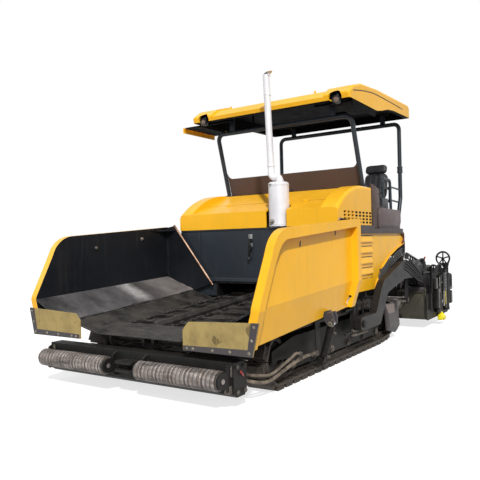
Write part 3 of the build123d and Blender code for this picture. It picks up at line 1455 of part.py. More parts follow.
# ================= screed =================
with BuildPart() as screed:
    with BuildSketch(side(-SCREED_HALF)):
        with BuildLine():
            Polyline(
                (SCREED_FRONT, SCREED_BASE + 40), (SCREED_FRONT + 40, SCREED_BASE),
                (SCREED_FRONT + SCREED_DEPTH, SCREED_BASE), (SCREED_FRONT + SCREED_DEPTH, SCREED_TOP),
                (SCREED_FRONT + 60, SCREED_TOP), (SCREED_FRONT, SCREED_TOP - 80), close=True,
            )
        make_face()
    extrude(amount=2 * SCREED_HALF)
    with BuildSketch(side(-SCREED_HALF + SCREED_SKIN)):
        with BuildLine():
            Polyline(
                (SCREED_FRONT + 25, SCREED_BASE + 50), (SCREED_FRONT + 50, SCREED_BASE + 30),
                (SCREED_FRONT + SCREED_DEPTH - 25, SCREED_BASE + 30),
                (SCREED_FRONT + SCREED_DEPTH - 25, SCREED_TOP - 20), (SCREED_FRONT + 70, SCREED_TOP - 20),
                (SCREED_FRONT + 25, SCREED_TOP - 90), close=True,
            )
        make_face()
    extrude(amount=2 * (SCREED_HALF - SCREED_SKIN), mode=Mode.SUBTRACT)
    # guide rails for the extensions
    for z in (SCREED_BASE + 180, SCREED_TOP - 70):
        with BuildSketch(side(-SCREED_HALF)):
            with Locations((SCREED_FRONT + SCREED_DEPTH + RAIL_DEPTH / 2, z)):
                Rectangle(RAIL_DEPTH, 46)
        extrude(amount=2 * SCREED_HALF)
    # ears for the lifting cylinders
    for x in (LIFT_X - LIFT_EAR_OUT, LIFT_X + LIFT_EAR_IN, -LIFT_X - LIFT_EAR_OUT, -LIFT_X + LIFT_EAR_IN):
        with BuildSketch(side(x)):
            with BuildLine():
                Polyline(
                    (LIFT_EYE[0] - 70, SCREED_TOP - 5), (LIFT_EYE[0] + 70, SCREED_TOP - 5),
                    (LIFT_EYE[0] + 40, LIFT_EYE[1] + 40), (LIFT_EYE[0] - 40, LIFT_EYE[1] + 40), close=True,
                )
            make_face()
        extrude(amount=EAR)
save(screed.part, "screed")

with BuildPart() as walkway:
    with BuildSketch(side(-SCREED_HALF)):
        with BuildLine():
            Polyline(
                (SCREED_FRONT + 260, SCREED_TOP), (SCREED_FRONT + 300, SCREED_TOP),
                (SCREED_FRONT + 300, SCREED_TOP + WALKWAY_RISE), (REAR_END, SCREED_TOP + WALKWAY_RISE),
                (REAR_END, SCREED_TOP + WALKWAY_RISE + WALKWAY_THICK),
                (SCREED_FRONT + 260, SCREED_TOP + WALKWAY_RISE + WALKWAY_THICK), close=True,
            )
        make_face()
    extrude(amount=2 * SCREED_HALF)
save(walkway.part, "screed_walkway")


def make_extension():
    with BuildPart() as extension:
        with BuildSketch(side(25)):
            with BuildLine():
                Polyline(
                    (EXTENSION_FRONT, SCREED_BASE + 40), (EXTENSION_FRONT + 30, SCREED_BASE),
                    (EXTENSION_FRONT + EXTENSION_DEPTH, SCREED_BASE),
                    (EXTENSION_FRONT + EXTENSION_DEPTH, SCREED_TOP - 40),
                    (EXTENSION_FRONT + 60, SCREED_TOP + 20), (EXTENSION_FRONT, SCREED_TOP + 20), close=True,
                )
            make_face()
        extrude(amount=EXTENSION_END - 25)
        with BuildSketch(side(40)):
            with BuildLine():
                Polyline(
                    (EXTENSION_FRONT + 18, SCREED_BASE + 50), (EXTENSION_FRONT + 40, SCREED_BASE + 25),
                    (EXTENSION_FRONT + EXTENSION_DEPTH - 18, SCREED_BASE + 25),
                    (EXTENSION_FRONT + EXTENSION_DEPTH - 18, SCREED_TOP - 58),
                    (EXTENSION_FRONT + 60, SCREED_TOP), (EXTENSION_FRONT + 18, SCREED_TOP), close=True,
                )
            make_face()
        extrude(amount=EXTENSION_END - 60, mode=Mode.SUBTRACT)
    return extension.part


save_pair(make_extension(), "screed_extension")


def make_end_gate():
    with BuildPart() as gate:
        with BuildSketch(side(EXTENSION_END)):
            with BuildLine():
                Polyline(
                    (4840, SCREED_BASE + 30), (4880, SCREED_BASE), (6040, SCREED_BASE),
                    (6080, SCREED_BASE + 40),
                    (6080, 560), (5700, 640), (4880, 560), (4840, 520), close=True,
                )
            make_face()
        extrude(amount=GATE_THICK)
        for station in SPINDLES:
            with BuildSketch(level(560)):
                with Locations((EXTENSION_END + GATE_THICK + SPINDLE_OUT, station)):
                    Circle(22)
            extrude(amount=440)
            with BuildSketch(level(300)):
                with Locations((EXTENSION_END + GATE_THICK - 3, station)):
                    Rectangle(SPINDLE_OUT + 3, 60, align=(Align.MIN, Align.CENTER))
            extrude(amount=340)
        with BuildSketch(level(1000)):
            with Locations((EXTENSION_END + GATE_THICK + SPINDLE_OUT, SPINDLES[1])):
                Circle(80)
                Circle(68, mode=Mode.SUBTRACT)
                Rectangle(145, 16)
        extrude(amount=14)
    return gate.part


save_pair(make_end_gate(), "end_gate")

# lifting cylinders between the body's rear and the screed
lift_barrel, lift_rod = barrel_and_rod(
    Vector(LIFT_X, LIFT_BASE[0] - MID, LIFT_BASE[1]), Vector(1, 0, 0),
    Vector(LIFT_X, LIFT_EYE[0] - MID, LIFT_EYE[1]), LIFT_BARREL, LIFT_HIDDEN,
)
save_pair(lift_barrel, "lift_cylinder")
save_pair(lift_rod, "lift_rod")
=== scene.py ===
import functools
import math

import bmesh
import bpy
from mathutils import Matrix, Vector


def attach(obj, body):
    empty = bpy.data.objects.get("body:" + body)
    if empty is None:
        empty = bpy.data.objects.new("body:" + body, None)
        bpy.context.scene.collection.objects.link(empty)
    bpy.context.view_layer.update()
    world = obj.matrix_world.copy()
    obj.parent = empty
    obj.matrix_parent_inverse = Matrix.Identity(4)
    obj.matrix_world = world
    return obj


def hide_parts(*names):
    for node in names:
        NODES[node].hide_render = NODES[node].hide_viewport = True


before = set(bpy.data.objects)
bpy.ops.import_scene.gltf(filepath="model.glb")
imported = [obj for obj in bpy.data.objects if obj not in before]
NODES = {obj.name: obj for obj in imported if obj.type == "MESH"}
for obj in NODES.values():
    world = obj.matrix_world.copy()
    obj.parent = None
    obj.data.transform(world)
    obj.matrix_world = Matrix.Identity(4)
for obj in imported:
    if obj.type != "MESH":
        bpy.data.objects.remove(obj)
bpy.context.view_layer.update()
SIDES = (("left", 1), ("right", -1))
BOTH = (-1, 1)
MIDDLE = 2995  # the station at the frame's origin
FLOOR_START, FLOOR_SLOPE = 540, 0.0778  # the hopper's floor: its height at station 0, and its rise


def back(station):
    """Metres along the machine; stations are millimetres behind the push beam's face."""
    return (station - MIDDLE) / 1000


def floor_at(station):
    return (FLOOR_START + FLOOR_SLOPE * station) / 1000


# ---- materials
def rgb(code):
    """An sRGB hex code as linear values."""
    values = [int(code[i:i + 2], 16) / 255 for i in (0, 2, 4)]
    return [v / 12.92 if v <= 0.04045 else ((v + 0.055) / 1.055) ** 2.4 for v in values] + [1.0]


class Nodes:
    """Short names for making the shader nodes of a material or of the world."""

    def __init__(self, owner, output="OutputMaterial"):
        owner.use_nodes = True
        self.tree = owner.node_tree
        self.tree.nodes.clear()
        self.out = self.node(output)
        coords = self.node("TexCoord").outputs
        self.place, self.normal = coords["Object"], coords["Normal"]

    def node(self, kind, inputs=None, **settings):
        node = self.tree.nodes.new("ShaderNode" + kind)
        for key, value in settings.items():
            setattr(node, key, value)
        for key, value in (inputs or {}).items():
            self.put(node.inputs[key], value)
        return node

    def put(self, socket, value):
        if isinstance(value, bpy.types.NodeSocket):
            self.tree.links.new(value, socket)
        else:
            socket.default_value = value

    def math(self, operation, a, b=0.0, clamp=False):
        return self.node("Math", {0: a, 1: b}, operation=operation, use_clamp=clamp).outputs[0]

    def times(self, a, b):
        return self.math("MULTIPLY", a, b)

    def plus(self, a, b):
        return self.math("ADD", a, b)

    def larger(self, a, b):
        return self.math("MAXIMUM", a, b)

    def above(self, value, limit):
        """1 where a value is above a limit, and 0 elsewhere."""
        return self.math("GREATER_THAN", value, limit)

    def below(self, value, limit):
        return self.math("LESS_THAN", value, limit)

    def split(self, vector):
        return self.node("SeparateXYZ", {0: vector}).outputs

    def stretched(self, x, y, z):
        return self.node("Mapping", {"Vector": self.place, "Scale": (x, y, z)}).outputs[0]

    def noise(self, scale, detail=4.0, rough=0.55, vector=None, distortion=0.0):
        return self.node("TexNoise", {
            "Vector": vector or self.place, "Scale": scale, "Detail": detail,
            "Roughness": rough, "Distortion": distortion,
        }).outputs[0]

    def ramp(self, value, low, high, start=0.0, end=1.0):
        return self.node("MapRange", {
            "Value": value, "From Min": low, "From Max": high, "To Min": start, "To Max": end,
        }, clamp=True).outputs[0]

    def mix(self, share, a, b):
        return self.node("Mix", {0: share, 6: a, 7: b}, data_type="RGBA").outputs[2]

    def blend(self, share, a, b):
        return self.node("Mix", {0: share, 2: a, 3: b}, data_type="FLOAT").outputs[0]

    def edges(self, radius, low=0.72, high=0.995):
        """1 along sharp edges, 0 on flat faces."""
        bevel = self.node("Bevel", {"Radius": radius}, samples=4)
        flat = self.node("NewGeometry").outputs["Normal"]
        dot = self.node("VectorMath", {0: bevel.outputs[0], 1: flat}, operation="DOT_PRODUCT")
        return self.ramp(dot.outputs["Value"], low, high, 1.0, 0.0)

    def up(self, low=0.35, high=0.95):
        return self.ramp(self.split(self.normal)[2], low, high)

    def bump(self, height, strength=0.3, distance=0.002, under=None):
        inputs = {"Height": height, "Strength": strength, "Distance": distance}
        if under is not None:
            inputs["Normal"] = under
        return self.node("Bump", inputs).outputs[0]

    def rounded(self, radius):
        return self.node("Bevel", {"Radius": radius}, samples=4).outputs[0]

    def shader(self, base, rough, metal=0.0, normal=None, **more):
        shader = self.node("BsdfPrincipled", {"Base Color": base, "Roughness": rough, "Metallic": metal})
        if normal is not None:
            self.put(shader.inputs["Normal"], normal)
        for key, value in more.items():
            self.put(shader.inputs[key.replace("_", " ")], value)
        return shader.outputs[0]

    def between(self, value, low, high):
        return self.times(self.above(value, low), self.below(value, high))

    def out_from_middle(self):
        """Distance from the plane of symmetry, station and height, in millimetres."""
        x, y, z = self.split(self.place)
        wide = self.times(self.math("ABSOLUTE", x), 1000)
        station = self.plus(self.times(y, 1000), MIDDLE)
        return wide, station, self.times(z, 1000)

    def inside(self, x, s, z):
        """1 inside a box and its mirror image."""
        wide, station, height = self.out_from_middle()
        both = self.times(self.between(wide, *x), self.between(station, *s))
        return self.times(both, self.between(height, *z))

    def in_view(self):
        """1 for rays from the camera, and for those that come by a reflection or through glass."""
        path = self.node("LightPath").outputs
        bounced = self.larger(path["Is Glossy Ray"], path["Is Transmission Ray"])
        return self.larger(path["Is Camera Ray"], bounced)


def made(name, build):
    material = bpy.data.materials.new(name)
    n = Nodes(material)
    n.put(n.out.inputs[0], build(n))
    return material


def finish(shader):
    """Lets a shader be described before there are nodes to make it with."""
    @functools.wraps(shader)
    def described(*values, **settings):
        return lambda n: shader(n, *values, **settings)
    return described


def layered(name, base, *layers):
    """A material whose layers, pairs of a mask and a finish, cover the base in turn."""
    def build(n):
        shader = base(n)
        for mask, cover in layers:
            shader = n.node("MixShader", {0: mask(n), 1: shader, 2: cover(n)}).outputs[0]
        return shader
    return made(name, build)


DUST = rgb("8f8271")


@finish
def painted(n, colour, rough=0.38, dust=0.35, chips=0.25, under="4a4743", edge=0.004, low_dust=0.9,
            grime="3a342c", coat=0.0, grain=0.03, variation=0.10, streak=0.25, level=0.3):
    """Sprayed steel: slight fading, chipped edges, settled dust and runs of grime."""
    z = n.split(n.place)[2]
    cloud, patch, fine = n.noise(0.9, 3), n.noise(7, 5), n.noise(60, 3)
    base = rgb(colour)
    dark = [v * (1 - variation * 2) for v in base[:3]] + [1]
    light = [min(1, v * (1 + variation)) for v in base[:3]] + [1]
    tone = n.mix(n.ramp(cloud, 0.35, 0.65), dark, light)
    tone = n.mix(n.ramp(patch, 0.45, 0.75, 0, 0.35), tone, base)
    runs = n.noise(5, 4, vector=n.stretched(3, 3, 0.25))
    tone = n.mix(n.times(n.ramp(runs, 0.55, 0.8), streak), tone, rgb(grime))
    sharp = n.edges(edge)
    chip = n.times(n.ramp(n.plus(n.times(sharp, 0.55), patch), 0.82, 0.92),
                  min(1.0, chips * 2))
    speck = n.times(n.ramp(n.noise(24, 6, 0.75), 0.70, 0.74), chips)
    scraped = n.larger(chip, speck)
    tone = n.mix(scraped, tone, rgb(under))
    settle = n.times(n.up(), dust)
    splash = n.times(n.ramp(z, low_dust, 0.0), dust)
    veil = n.times(n.larger(settle, splash),
                  n.ramp(n.plus(patch, fine), 0.7, 1.25))
    tone = n.mix(veil, tone, DUST)
    shine = n.blend(veil, n.ramp(patch, 0.3, 0.8, rough - 0.06, rough + 0.12), 0.85)
    shine = n.blend(scraped, shine, 0.55)
    height = n.math("SUBTRACT", n.times(fine, grain * 10), scraped)
    normal = n.bump(height, 0.18, 0.0012, n.rounded(edge * 0.8))
    return n.shader(tone, shine, 0.0, normal, Coat_Weight=coat, Coat_Roughness=0.12,
                    Specular_IOR_Level=level)


@finish
def bare(n, colour, dark, rough=0.32, scale=9, stretch=(1, 1, 1), dust=0.3, metal=0.9, edge=0.003,
         bright="b9b4ab", rust=None, scratch=0.0, rings=0.0):
    """Bare steel: scratched, stained and brighter on its edges. Rings are weld beads round a roller."""
    z = n.split(n.place)[2]
    vector = n.stretched(*stretch)
    stain, fine = n.noise(scale, 6, 0.6, vector), n.noise(scale * 9, 4, 0.6, vector)
    tone = n.mix(n.ramp(stain, 0.35, 0.68), rgb(dark), rgb(colour))
    if rust:
        tone = n.mix(n.ramp(n.noise(scale * 1.7, 6, 0.7), 0.48, 0.7, 0, 0.9), tone, rgb(rust))
    if scratch:
        lines = n.noise(26, 3, 0.7, n.stretched(0.35, 6, 3), 1.5)
        tone = n.mix(n.ramp(lines, 0.58, 0.66, 0, scratch), tone, rgb(bright))
    tone = n.mix(n.times(n.edges(edge), 0.6), tone, rgb(bright))
    veil = n.times(n.larger(n.times(n.up(), dust),
                                     n.times(n.ramp(z, 0.7, 0.0), dust)),
                  n.ramp(stain, 0.3, 0.6))
    tone = n.mix(veil, tone, DUST)
    shine = n.ramp(n.plus(stain, n.times(fine, 0.5)), 0.5, 1.0, rough,
                   min(1, rough + 0.35))
    shine = n.blend(veil, shine, 0.9)
    metallic = n.blend(veil, metal, 0.0)
    normal = n.bump(n.plus(fine, n.times(stain, 0.6)), 0.22, 0.0012, n.rounded(edge))
    if rings:
        wander = n.plus(n.split(n.place)[0], n.times(n.noise(9, 2), 0.006))
        wave = n.math("SINE", n.times(wander, math.tau / rings))
        normal = n.bump(n.plus(wave, n.times(stain, 1.5)), 0.9, 0.004, normal)
        tone = n.mix(n.ramp(wave, -1.0, -0.1, 0.75, 0.0), tone, rgb(dark))
    return n.shader(tone, shine, metallic, normal)


@finish
def rubbery(n, colour, rough=0.75, scale=30, worn="8a7c62", amount=0.35, bump=0.3):
    """Rubber or vinyl: fine grain, scuffed in patches."""
    patch, fine = n.noise(6, 6, 0.65), n.noise(scale, 5, 0.6)
    tone = n.mix(n.ramp(patch, 0.42, 0.7, 0, amount), rgb(colour), rgb(worn))
    tone = n.mix(n.ramp(fine, 0.55, 0.8, 0, 0.3), tone, [v * 0.6 for v in rgb(colour)[:3]] + [1])
    normal = n.bump(fine, bump, 0.0015, n.rounded(0.003))
    shine = n.ramp(patch, 0.3, 0.7, rough - 0.1, rough + 0.12)
    return n.shader(tone, shine, 0.0, normal, Specular_IOR_Level=0.3)


@finish
def moulded(n, colour, rough=0.5, grain=220, bump=0.12, dust=0.25, edge=0.002):
    """Plastic: pebbled, with dust on what faces up."""
    cell = n.node("TexVoronoi", {"Vector": n.place, "Scale": grain}).outputs["Distance"]
    patch = n.noise(8, 5)
    veil = n.times(n.times(n.up(), dust), n.ramp(patch, 0.35, 0.65))
    base = rgb(colour)
    tone = n.mix(n.ramp(patch, 0.3, 0.7), base, [min(1, v * 1.25 + 0.004) for v in base[:3]] + [1])
    tone = n.mix(veil, tone, DUST)
    normal = n.bump(cell, bump, 0.0006, n.rounded(edge))
    return n.shader(tone, n.blend(veil, rough, 0.9), 0.0, normal, Specular_IOR_Level=0.35)


def paint(name, *values, **settings):
    return made(name, painted(*values, **settings))


def steel(name, *values, **settings):
    return made(name, bare(*values, **settings))


def rubber(name, *values, **settings):
    return made(name, rubbery(*values, **settings))


def plastic(name, *values, **settings):
    return made(name, moulded(*values, **settings))


YELLOW_COAT = painted("f8b71b", rough=0.36, dust=0.10, chips=0.12, under="6b5a3a", coat=0.08,
                      variation=0.05, streak=0.10, low_dust=0.5)
BLACK_COAT = painted("17191d", rough=0.45, dust=0.05, level=0.18, chips=0.35, under="5b5a58",
                     variation=0.15, streak=0.2, grime="4a4540")
GREY_COAT = painted("3f3b3e", rough=0.48, dust=0.16, chips=0.22, under="7d7468", variation=0.08)
WORN_PLATE = bare("7d7a7b", "4a4849", rough=0.26, scale=1.6, stretch=(1, 1.6, 1), dust=0.0, metal=0.7,
                  scratch=0.4)
PALE_PLATE = bare("b7afab", "8d837e", rough=0.3, scale=3, dust=0.0, metal=0.5, scratch=0.4)
# near-white steel: partly polish, partly a painted highlight
POLISH_AND_HIGHLIGHT_PLATE = bare("f1efec", "cfcbc7", rough=0.16, scale=5, dust=0.0, metal=0.55, scratch=0.5)
YELLOW = made("yellow_paint", YELLOW_COAT)
GREY = made("grey_paint", GREY_COAT)
BROWN = paint("brown_grey_paint", "4d3d37", rough=0.5, dust=0.28, chips=0.18, under="7a6c60", variation=0.08)
CONSOLE = paint("console_paint", "5d4f4e", rough=0.45, dust=0.2, chips=0.12, under="8a7c72", variation=0.06)
DARK = paint("dark_frame_paint", "131314", rough=0.5, dust=0.1, chips=0.3, under="5a544d", variation=0.15,
             low_dust=0.8, level=0.13)
ARM = paint("tow_arm_paint", "101013", rough=0.42, level=0.2, dust=0.1, chips=0.4, under="7d756a",
            variation=0.15, low_dust=1.4, edge=0.006)
BLUEBLACK = paint("post_paint", "262c33", rough=0.4, dust=0.08, chips=0.2, under="6a6864", variation=0.08)
TRACK = steel("track_steel", "3d3733", "171412", rough=0.5, scale=14, dust=0.14, metal=0.5, rust="45362b")
ROLLER = steel("roller_steel", "b3aaa6", "46403d", rough=0.36, scale=7, stretch=(0.5, 3, 3), dust=0.1,
               metal=0.6, rust="6f5b4f", scratch=0.3, rings=0.048)
BRIGHT = steel("worn_bright_steel", "a9a49d", "55504b", rough=0.25, scale=5, stretch=(1, 3, 1), dust=0.15)
STAINED = steel("stained_steel", "35322f", "0f0e0d", rough=0.4, scale=4, stretch=(1, 1.6, 1), dust=0.05,
                metal=0.4, scratch=0.25)
SILVER = steel("exhaust_steel", "f0eef0", "d6d4d6", rough=0.36, scale=6, stretch=(1, 1, 0.4), dust=0.0,
               metal=0.15, bright="fbfbfb")
CHROME = steel("rod_chrome", "dcdcdc", "9c9a98", rough=0.12, scale=12, dust=0.1, metal=1.0)
BOLT = steel("bolt_zinc", "a59d88", "5b554a", rough=0.4, scale=40, dust=0.2, metal=0.8)
IRON = steel("cast_iron", "4a4743", "23211f", rough=0.6, scale=12, dust=0.4, metal=0.4)
BLACK = plastic("black_plastic", "141415", rough=0.45)
GREYPLASTIC = plastic("grey_plastic", "3c3b40", rough=0.5)
BLACKPAINT = made("black_paint", BLACK_COAT)
BLACKSATIN = paint("black_satin_paint", "0f1011", rough=0.32, level=0.25, dust=0.15, chips=0.15,
                   under="55534f", variation=0.1)
SIDEPLATE = paint("olive_side_plate", "3b3a30", rough=0.4, dust=0.15, chips=0.3, under="6c685a",
                  variation=0.12)
COPPERY = steel("worn_copper_steel", "c7a58b", "6f5344", rough=0.25, scale=5, dust=0.03, metal=0.8,
                bright="e6d3c3")
# painted light: a lighter grey for the sprocket guard's upward facet
LIT_FACET = paint("lit_facet_paint", "776a63", rough=0.45, dust=0.15, chips=0.2, under="9a9086")
REDPIPE = paint("red_brown_pipe", "6b2a1d", rough=0.4, dust=0.2, chips=0.15, under="5b5048")
PALEPIPE = paint("pale_pipe_paint", "434244", rough=0.4, dust=0.15, chips=0.2, under="8a857d")
PALESTEEL = steel("pale_steel", "b9b9b8", "6f6e6c", rough=0.35, scale=9, dust=0.1, metal=0.6)
WORNPIPE = steel("worn_pipe_paint", "8b7d6c", "4e463c", rough=0.42, scale=12, dust=0.3, metal=0.35)
SEAM = paint("seam_shadow", "6d4a12", rough=0.6, dust=0.1, chips=0.0, variation=0.1)
TREAD = paint("tread_plate", "4a4344", rough=0.5, dust=0.35, chips=0.4, under="8d877f", variation=0.1)
REDLENS = plastic("red_reflector", "8e1c14", rough=0.2, grain=400, bump=0.3, dust=0.15)
LENS = plastic("lamp_glass", "6e5a4c", rough=0.08, grain=260, bump=0.35, dust=0.05)
VINYL = rubber("seat_vinyl", "252527", rough=0.5, worn="38373a", amount=0.25, scale=190, bump=0.25)
GLASS = plastic("screen_glass", "0b0d10", rough=0.06, grain=30, bump=0.01, dust=0.08)
SAFETY = plastic("safety_yellow", "e9d51c", rough=0.4, dust=0.1)
TAN = rubber("tan_belt", "a08a57", rough=0.7, worn="6f5f3e", amount=0.6)
RUBBER = rubber("black_rubber", "161616", worn="4a453e", amount=0.4)
HOSE = rubber("hose_rubber", "1c1c1d", rough=0.55, worn="3c3833", amount=0.3, scale=60)


# ---- masks
def facing_down(n):
    return n.below(n.split(n.normal)[2], -0.6)


def roof_shade(n):
    """Painted shade: the hollow under the roof, but not the upright faces of the step in its top, and every
    face that faces down.
    """
    hollow = n.inside((-1, 1194), (2520, 4739), (3000, 3560))
    tilt = n.split(n.normal)[2]
    step = 0
    for zone in (((880, 925), (2880, 4760), (3446, 3560)), ((-1, 925), (2600, 2880), (3372, 3560)),
                 ((880, 925), (2480, 2640), (3300, 3560))):
        step = n.larger(step, n.inside(*zone))
    upright = n.times(step, n.above(tilt, -0.5))
    hollow = n.times(hollow, n.math("SUBTRACT", 1, upright))
    return n.larger(n.times(hollow, n.below(tilt, 0.05)), facing_down(n))


# the wing's lower panel leans in below a fold that rises to the rear
FOLD_START, FOLD_SLOPE, LOWER_PANEL, LEAN = 876.4, 0.0541, 315, 95
WING_PANEL = 1453  # between the wing's inner and outer faces
PLATE_EDGE = 985  # the sloping plate's inner edge
POLISH_AND_HIGHLIGHT_AT = 1245  # the middle of its polished band, painted near white: partly the polish, partly a painted highlight


def wing_parts(n):
    """Distance outward with the lean of the lower panel taken out, and the fold's height."""
    wide, station, height = n.out_from_middle()
    fold = n.plus(n.times(station, FOLD_SLOPE), FOLD_START)
    lean = n.math("DIVIDE", n.math("SUBTRACT", fold, height), LOWER_PANEL, clamp=True)
    return n.plus(wide, n.times(lean, LEAN)), fold


def wing_inside(n):
    return n.below(wing_parts(n)[0], WING_PANEL)


def ragged(n, scale, width):
    """A wandering offset that makes a mask's edge ragged."""
    return n.times(n.math("SUBTRACT", n.noise(scale, 4), 0.5), width)


def wing_floor(n):
    """The sloping plate, and the corner that the mix rubs on the rear plate."""
    wide, station, height = n.out_from_middle()
    facing_up = n.above(n.split(n.normal)[2], 0.3)
    low = n.below(height, n.plus(wing_parts(n)[1], 12))
    plate = n.times(facing_up, n.times(low, n.above(wide, PLATE_EDGE)))
    slope = n.plus(n.times(wide, 0.34), n.plus(ragged(n, 6, 90), 490))
    forward = n.below(n.split(n.normal)[1], -0.5)
    corner = n.times(forward, n.below(height, slope))
    corner = n.times(corner, n.above(station, 2000))
    return n.times(n.larger(plate, corner), wing_inside(n))


def polish_and_highlight_band(n):
    """The band of the sloping plate that the mix has polished, painted near white: partly the polish, partly
    a painted highlight.
    """
    wide, station, _ = n.out_from_middle()
    off = n.plus(n.math("SUBTRACT", station, POLISH_AND_HIGHLIGHT_AT), ragged(n, 14, 110))
    band = n.ramp(n.math("ABSOLUTE", off), 150, 20, 0, 0.85)
    return n.times(n.times(band, n.ramp(wide, PLATE_EDGE + 5, 1120)), wing_floor(n))


def plate_rear(n):
    """The rear part of the sloping plate, rubbed pale."""
    return n.times(n.ramp(n.out_from_middle()[1], 1330, 1900, 0, 0.75), wing_floor(n))


def wing_fork(n):
    return n.inside((1362, 1500), (1400, 1580), (500, 705))


def apron_frame(n):
    """The steel frame, which stands in front of the belt."""
    return n.below(n.out_from_middle()[1], -40.5)


def apron_stains(n):
    """Ragged smears of tar."""
    smear = n.noise(9, 3)
    patch = n.above(n.noise(2.6, 2), 0.56)
    return n.times(0.6, n.times(patch, n.above(smear, 0.6)))


def awning_shade(n):
    """Painted shade: all of the awning but its top and its outer end."""
    side = n.below(n.split(n.normal)[2], 0.5)
    return n.times(side, n.below(n.out_from_middle()[0], 1492))


WING = layered("wing_paint", YELLOW_COAT, (wing_inside, BLACK_COAT), (wing_floor, WORN_PLATE),
               (plate_rear, PALE_PLATE), (polish_and_highlight_band, POLISH_AND_HIGHLIGHT_PLATE), (wing_fork, GREY_COAT))
# painted shade: a near-black, matte coat, laid on the roof's underside, the awning's sides, the stowed left
# awning and the box behind the grille
SHADE_COAT = painted("0e0e0f", rough=0.75, dust=0.0, level=0.05, chips=0.1, variation=0.1)
ROOF = layered("roof_paint", YELLOW_COAT, (roof_shade, SHADE_COAT))
AWNING = layered("awning_paint", YELLOW_COAT, (awning_shade, SHADE_COAT))
SHADE_BLACK = made("shade_black_paint", SHADE_COAT)
BELT = rubbery("a8925c", rough=0.62, worn="6f5f3e", amount=0.6)
TARRED = rubbery("4a3a26", rough=0.7, worn="2e2418", amount=0.6)
APRON = layered("apron_belt", BELT, (apron_stains, TARRED), (apron_frame, GREY_COAT))
BEAM = paint("beam_paint", "151515", rough=0.5, dust=0.06, chips=0.25, under="5b5752", variation=0.12,
             low_dust=0.5, level=0.2)
TRIMMED = paint("platform_paint", "403637", rough=0.5, dust=0.08, chips=0.2, under="7a6c60", variation=0.08)

# material: the nodes, or starts of nodes, that it goes on; the longest start that fits a node counts
FINISHES = (
    (YELLOW, "engine_hood louvre_door side_panels"),
    (DARK, "auger_carrier cylinder_brackets end_gate frame_bearers lift_cylinder main_frame rear_bulkhead "
           "screed screed_extension tow_points track_frames wing_cylinder"),
    (STAINED, "conveyors frame_plates hopper_floor"), (BLUEBLACK, "canopy_frames hopper_rear_wall"),
    (GREY, "dashboard screed_walkway sprocket_guards"), (SILVER, "exhaust_pipe muffler"),
    (CHROME, "lift_rod wing_rod"), (APRON, "apron"), (AWNING, "awning"), (SHADE_BLACK, "awning_left"),
    (ROOF, "canopy_roof"), (WING, "wing_"), (ARM, "tow_arms"), (BEAM, "push_beam"), (ROLLER, "push_roller"),
    (TRACK, "track_"), (BRIGHT, "auger_"), (IRON, "engine_block"), (TRIMMED, "platform"),
    (BROWN, "screen_panel"), (CONSOLE, "side_consoles"), (BLACK, "seats"),
)
FINISH = {start: material for material, starts in FINISHES for start in starts.split()}
for node, thing in NODES.items():
    key = max((k for k in FINISH if node.startswith(k)), key=len)
    for place in thing.material_slots:
        place.material = FINISH[key]

# ---- drawing pieces: places are millimetres, out from the middle, station and height
UP, OUT, INWARD, FORWARD, BACKWARD = (0, 0, 1), (1, 0, 0), (-1, 0, 0), (0, -1, 0), (0, 1, 0)
SHARP = math.radians(38)  # a steeper edge than this isn't shaded smooth


def ring(middle, across, other, radius, count):
    """Points round a middle, with the radius in millimetres."""
    return [middle + (across * math.cos(a) + other * math.sin(a)) * (radius / 1000)
            for a in (math.tau * k / count for k in range(count))]


def linked(name, data):
    piece = bpy.data.objects.new(name, data)
    bpy.context.scene.collection.objects.link(piece)
    return piece


def shaded_smooth(data):
    for face in data.polygons:
        face.use_smooth = True


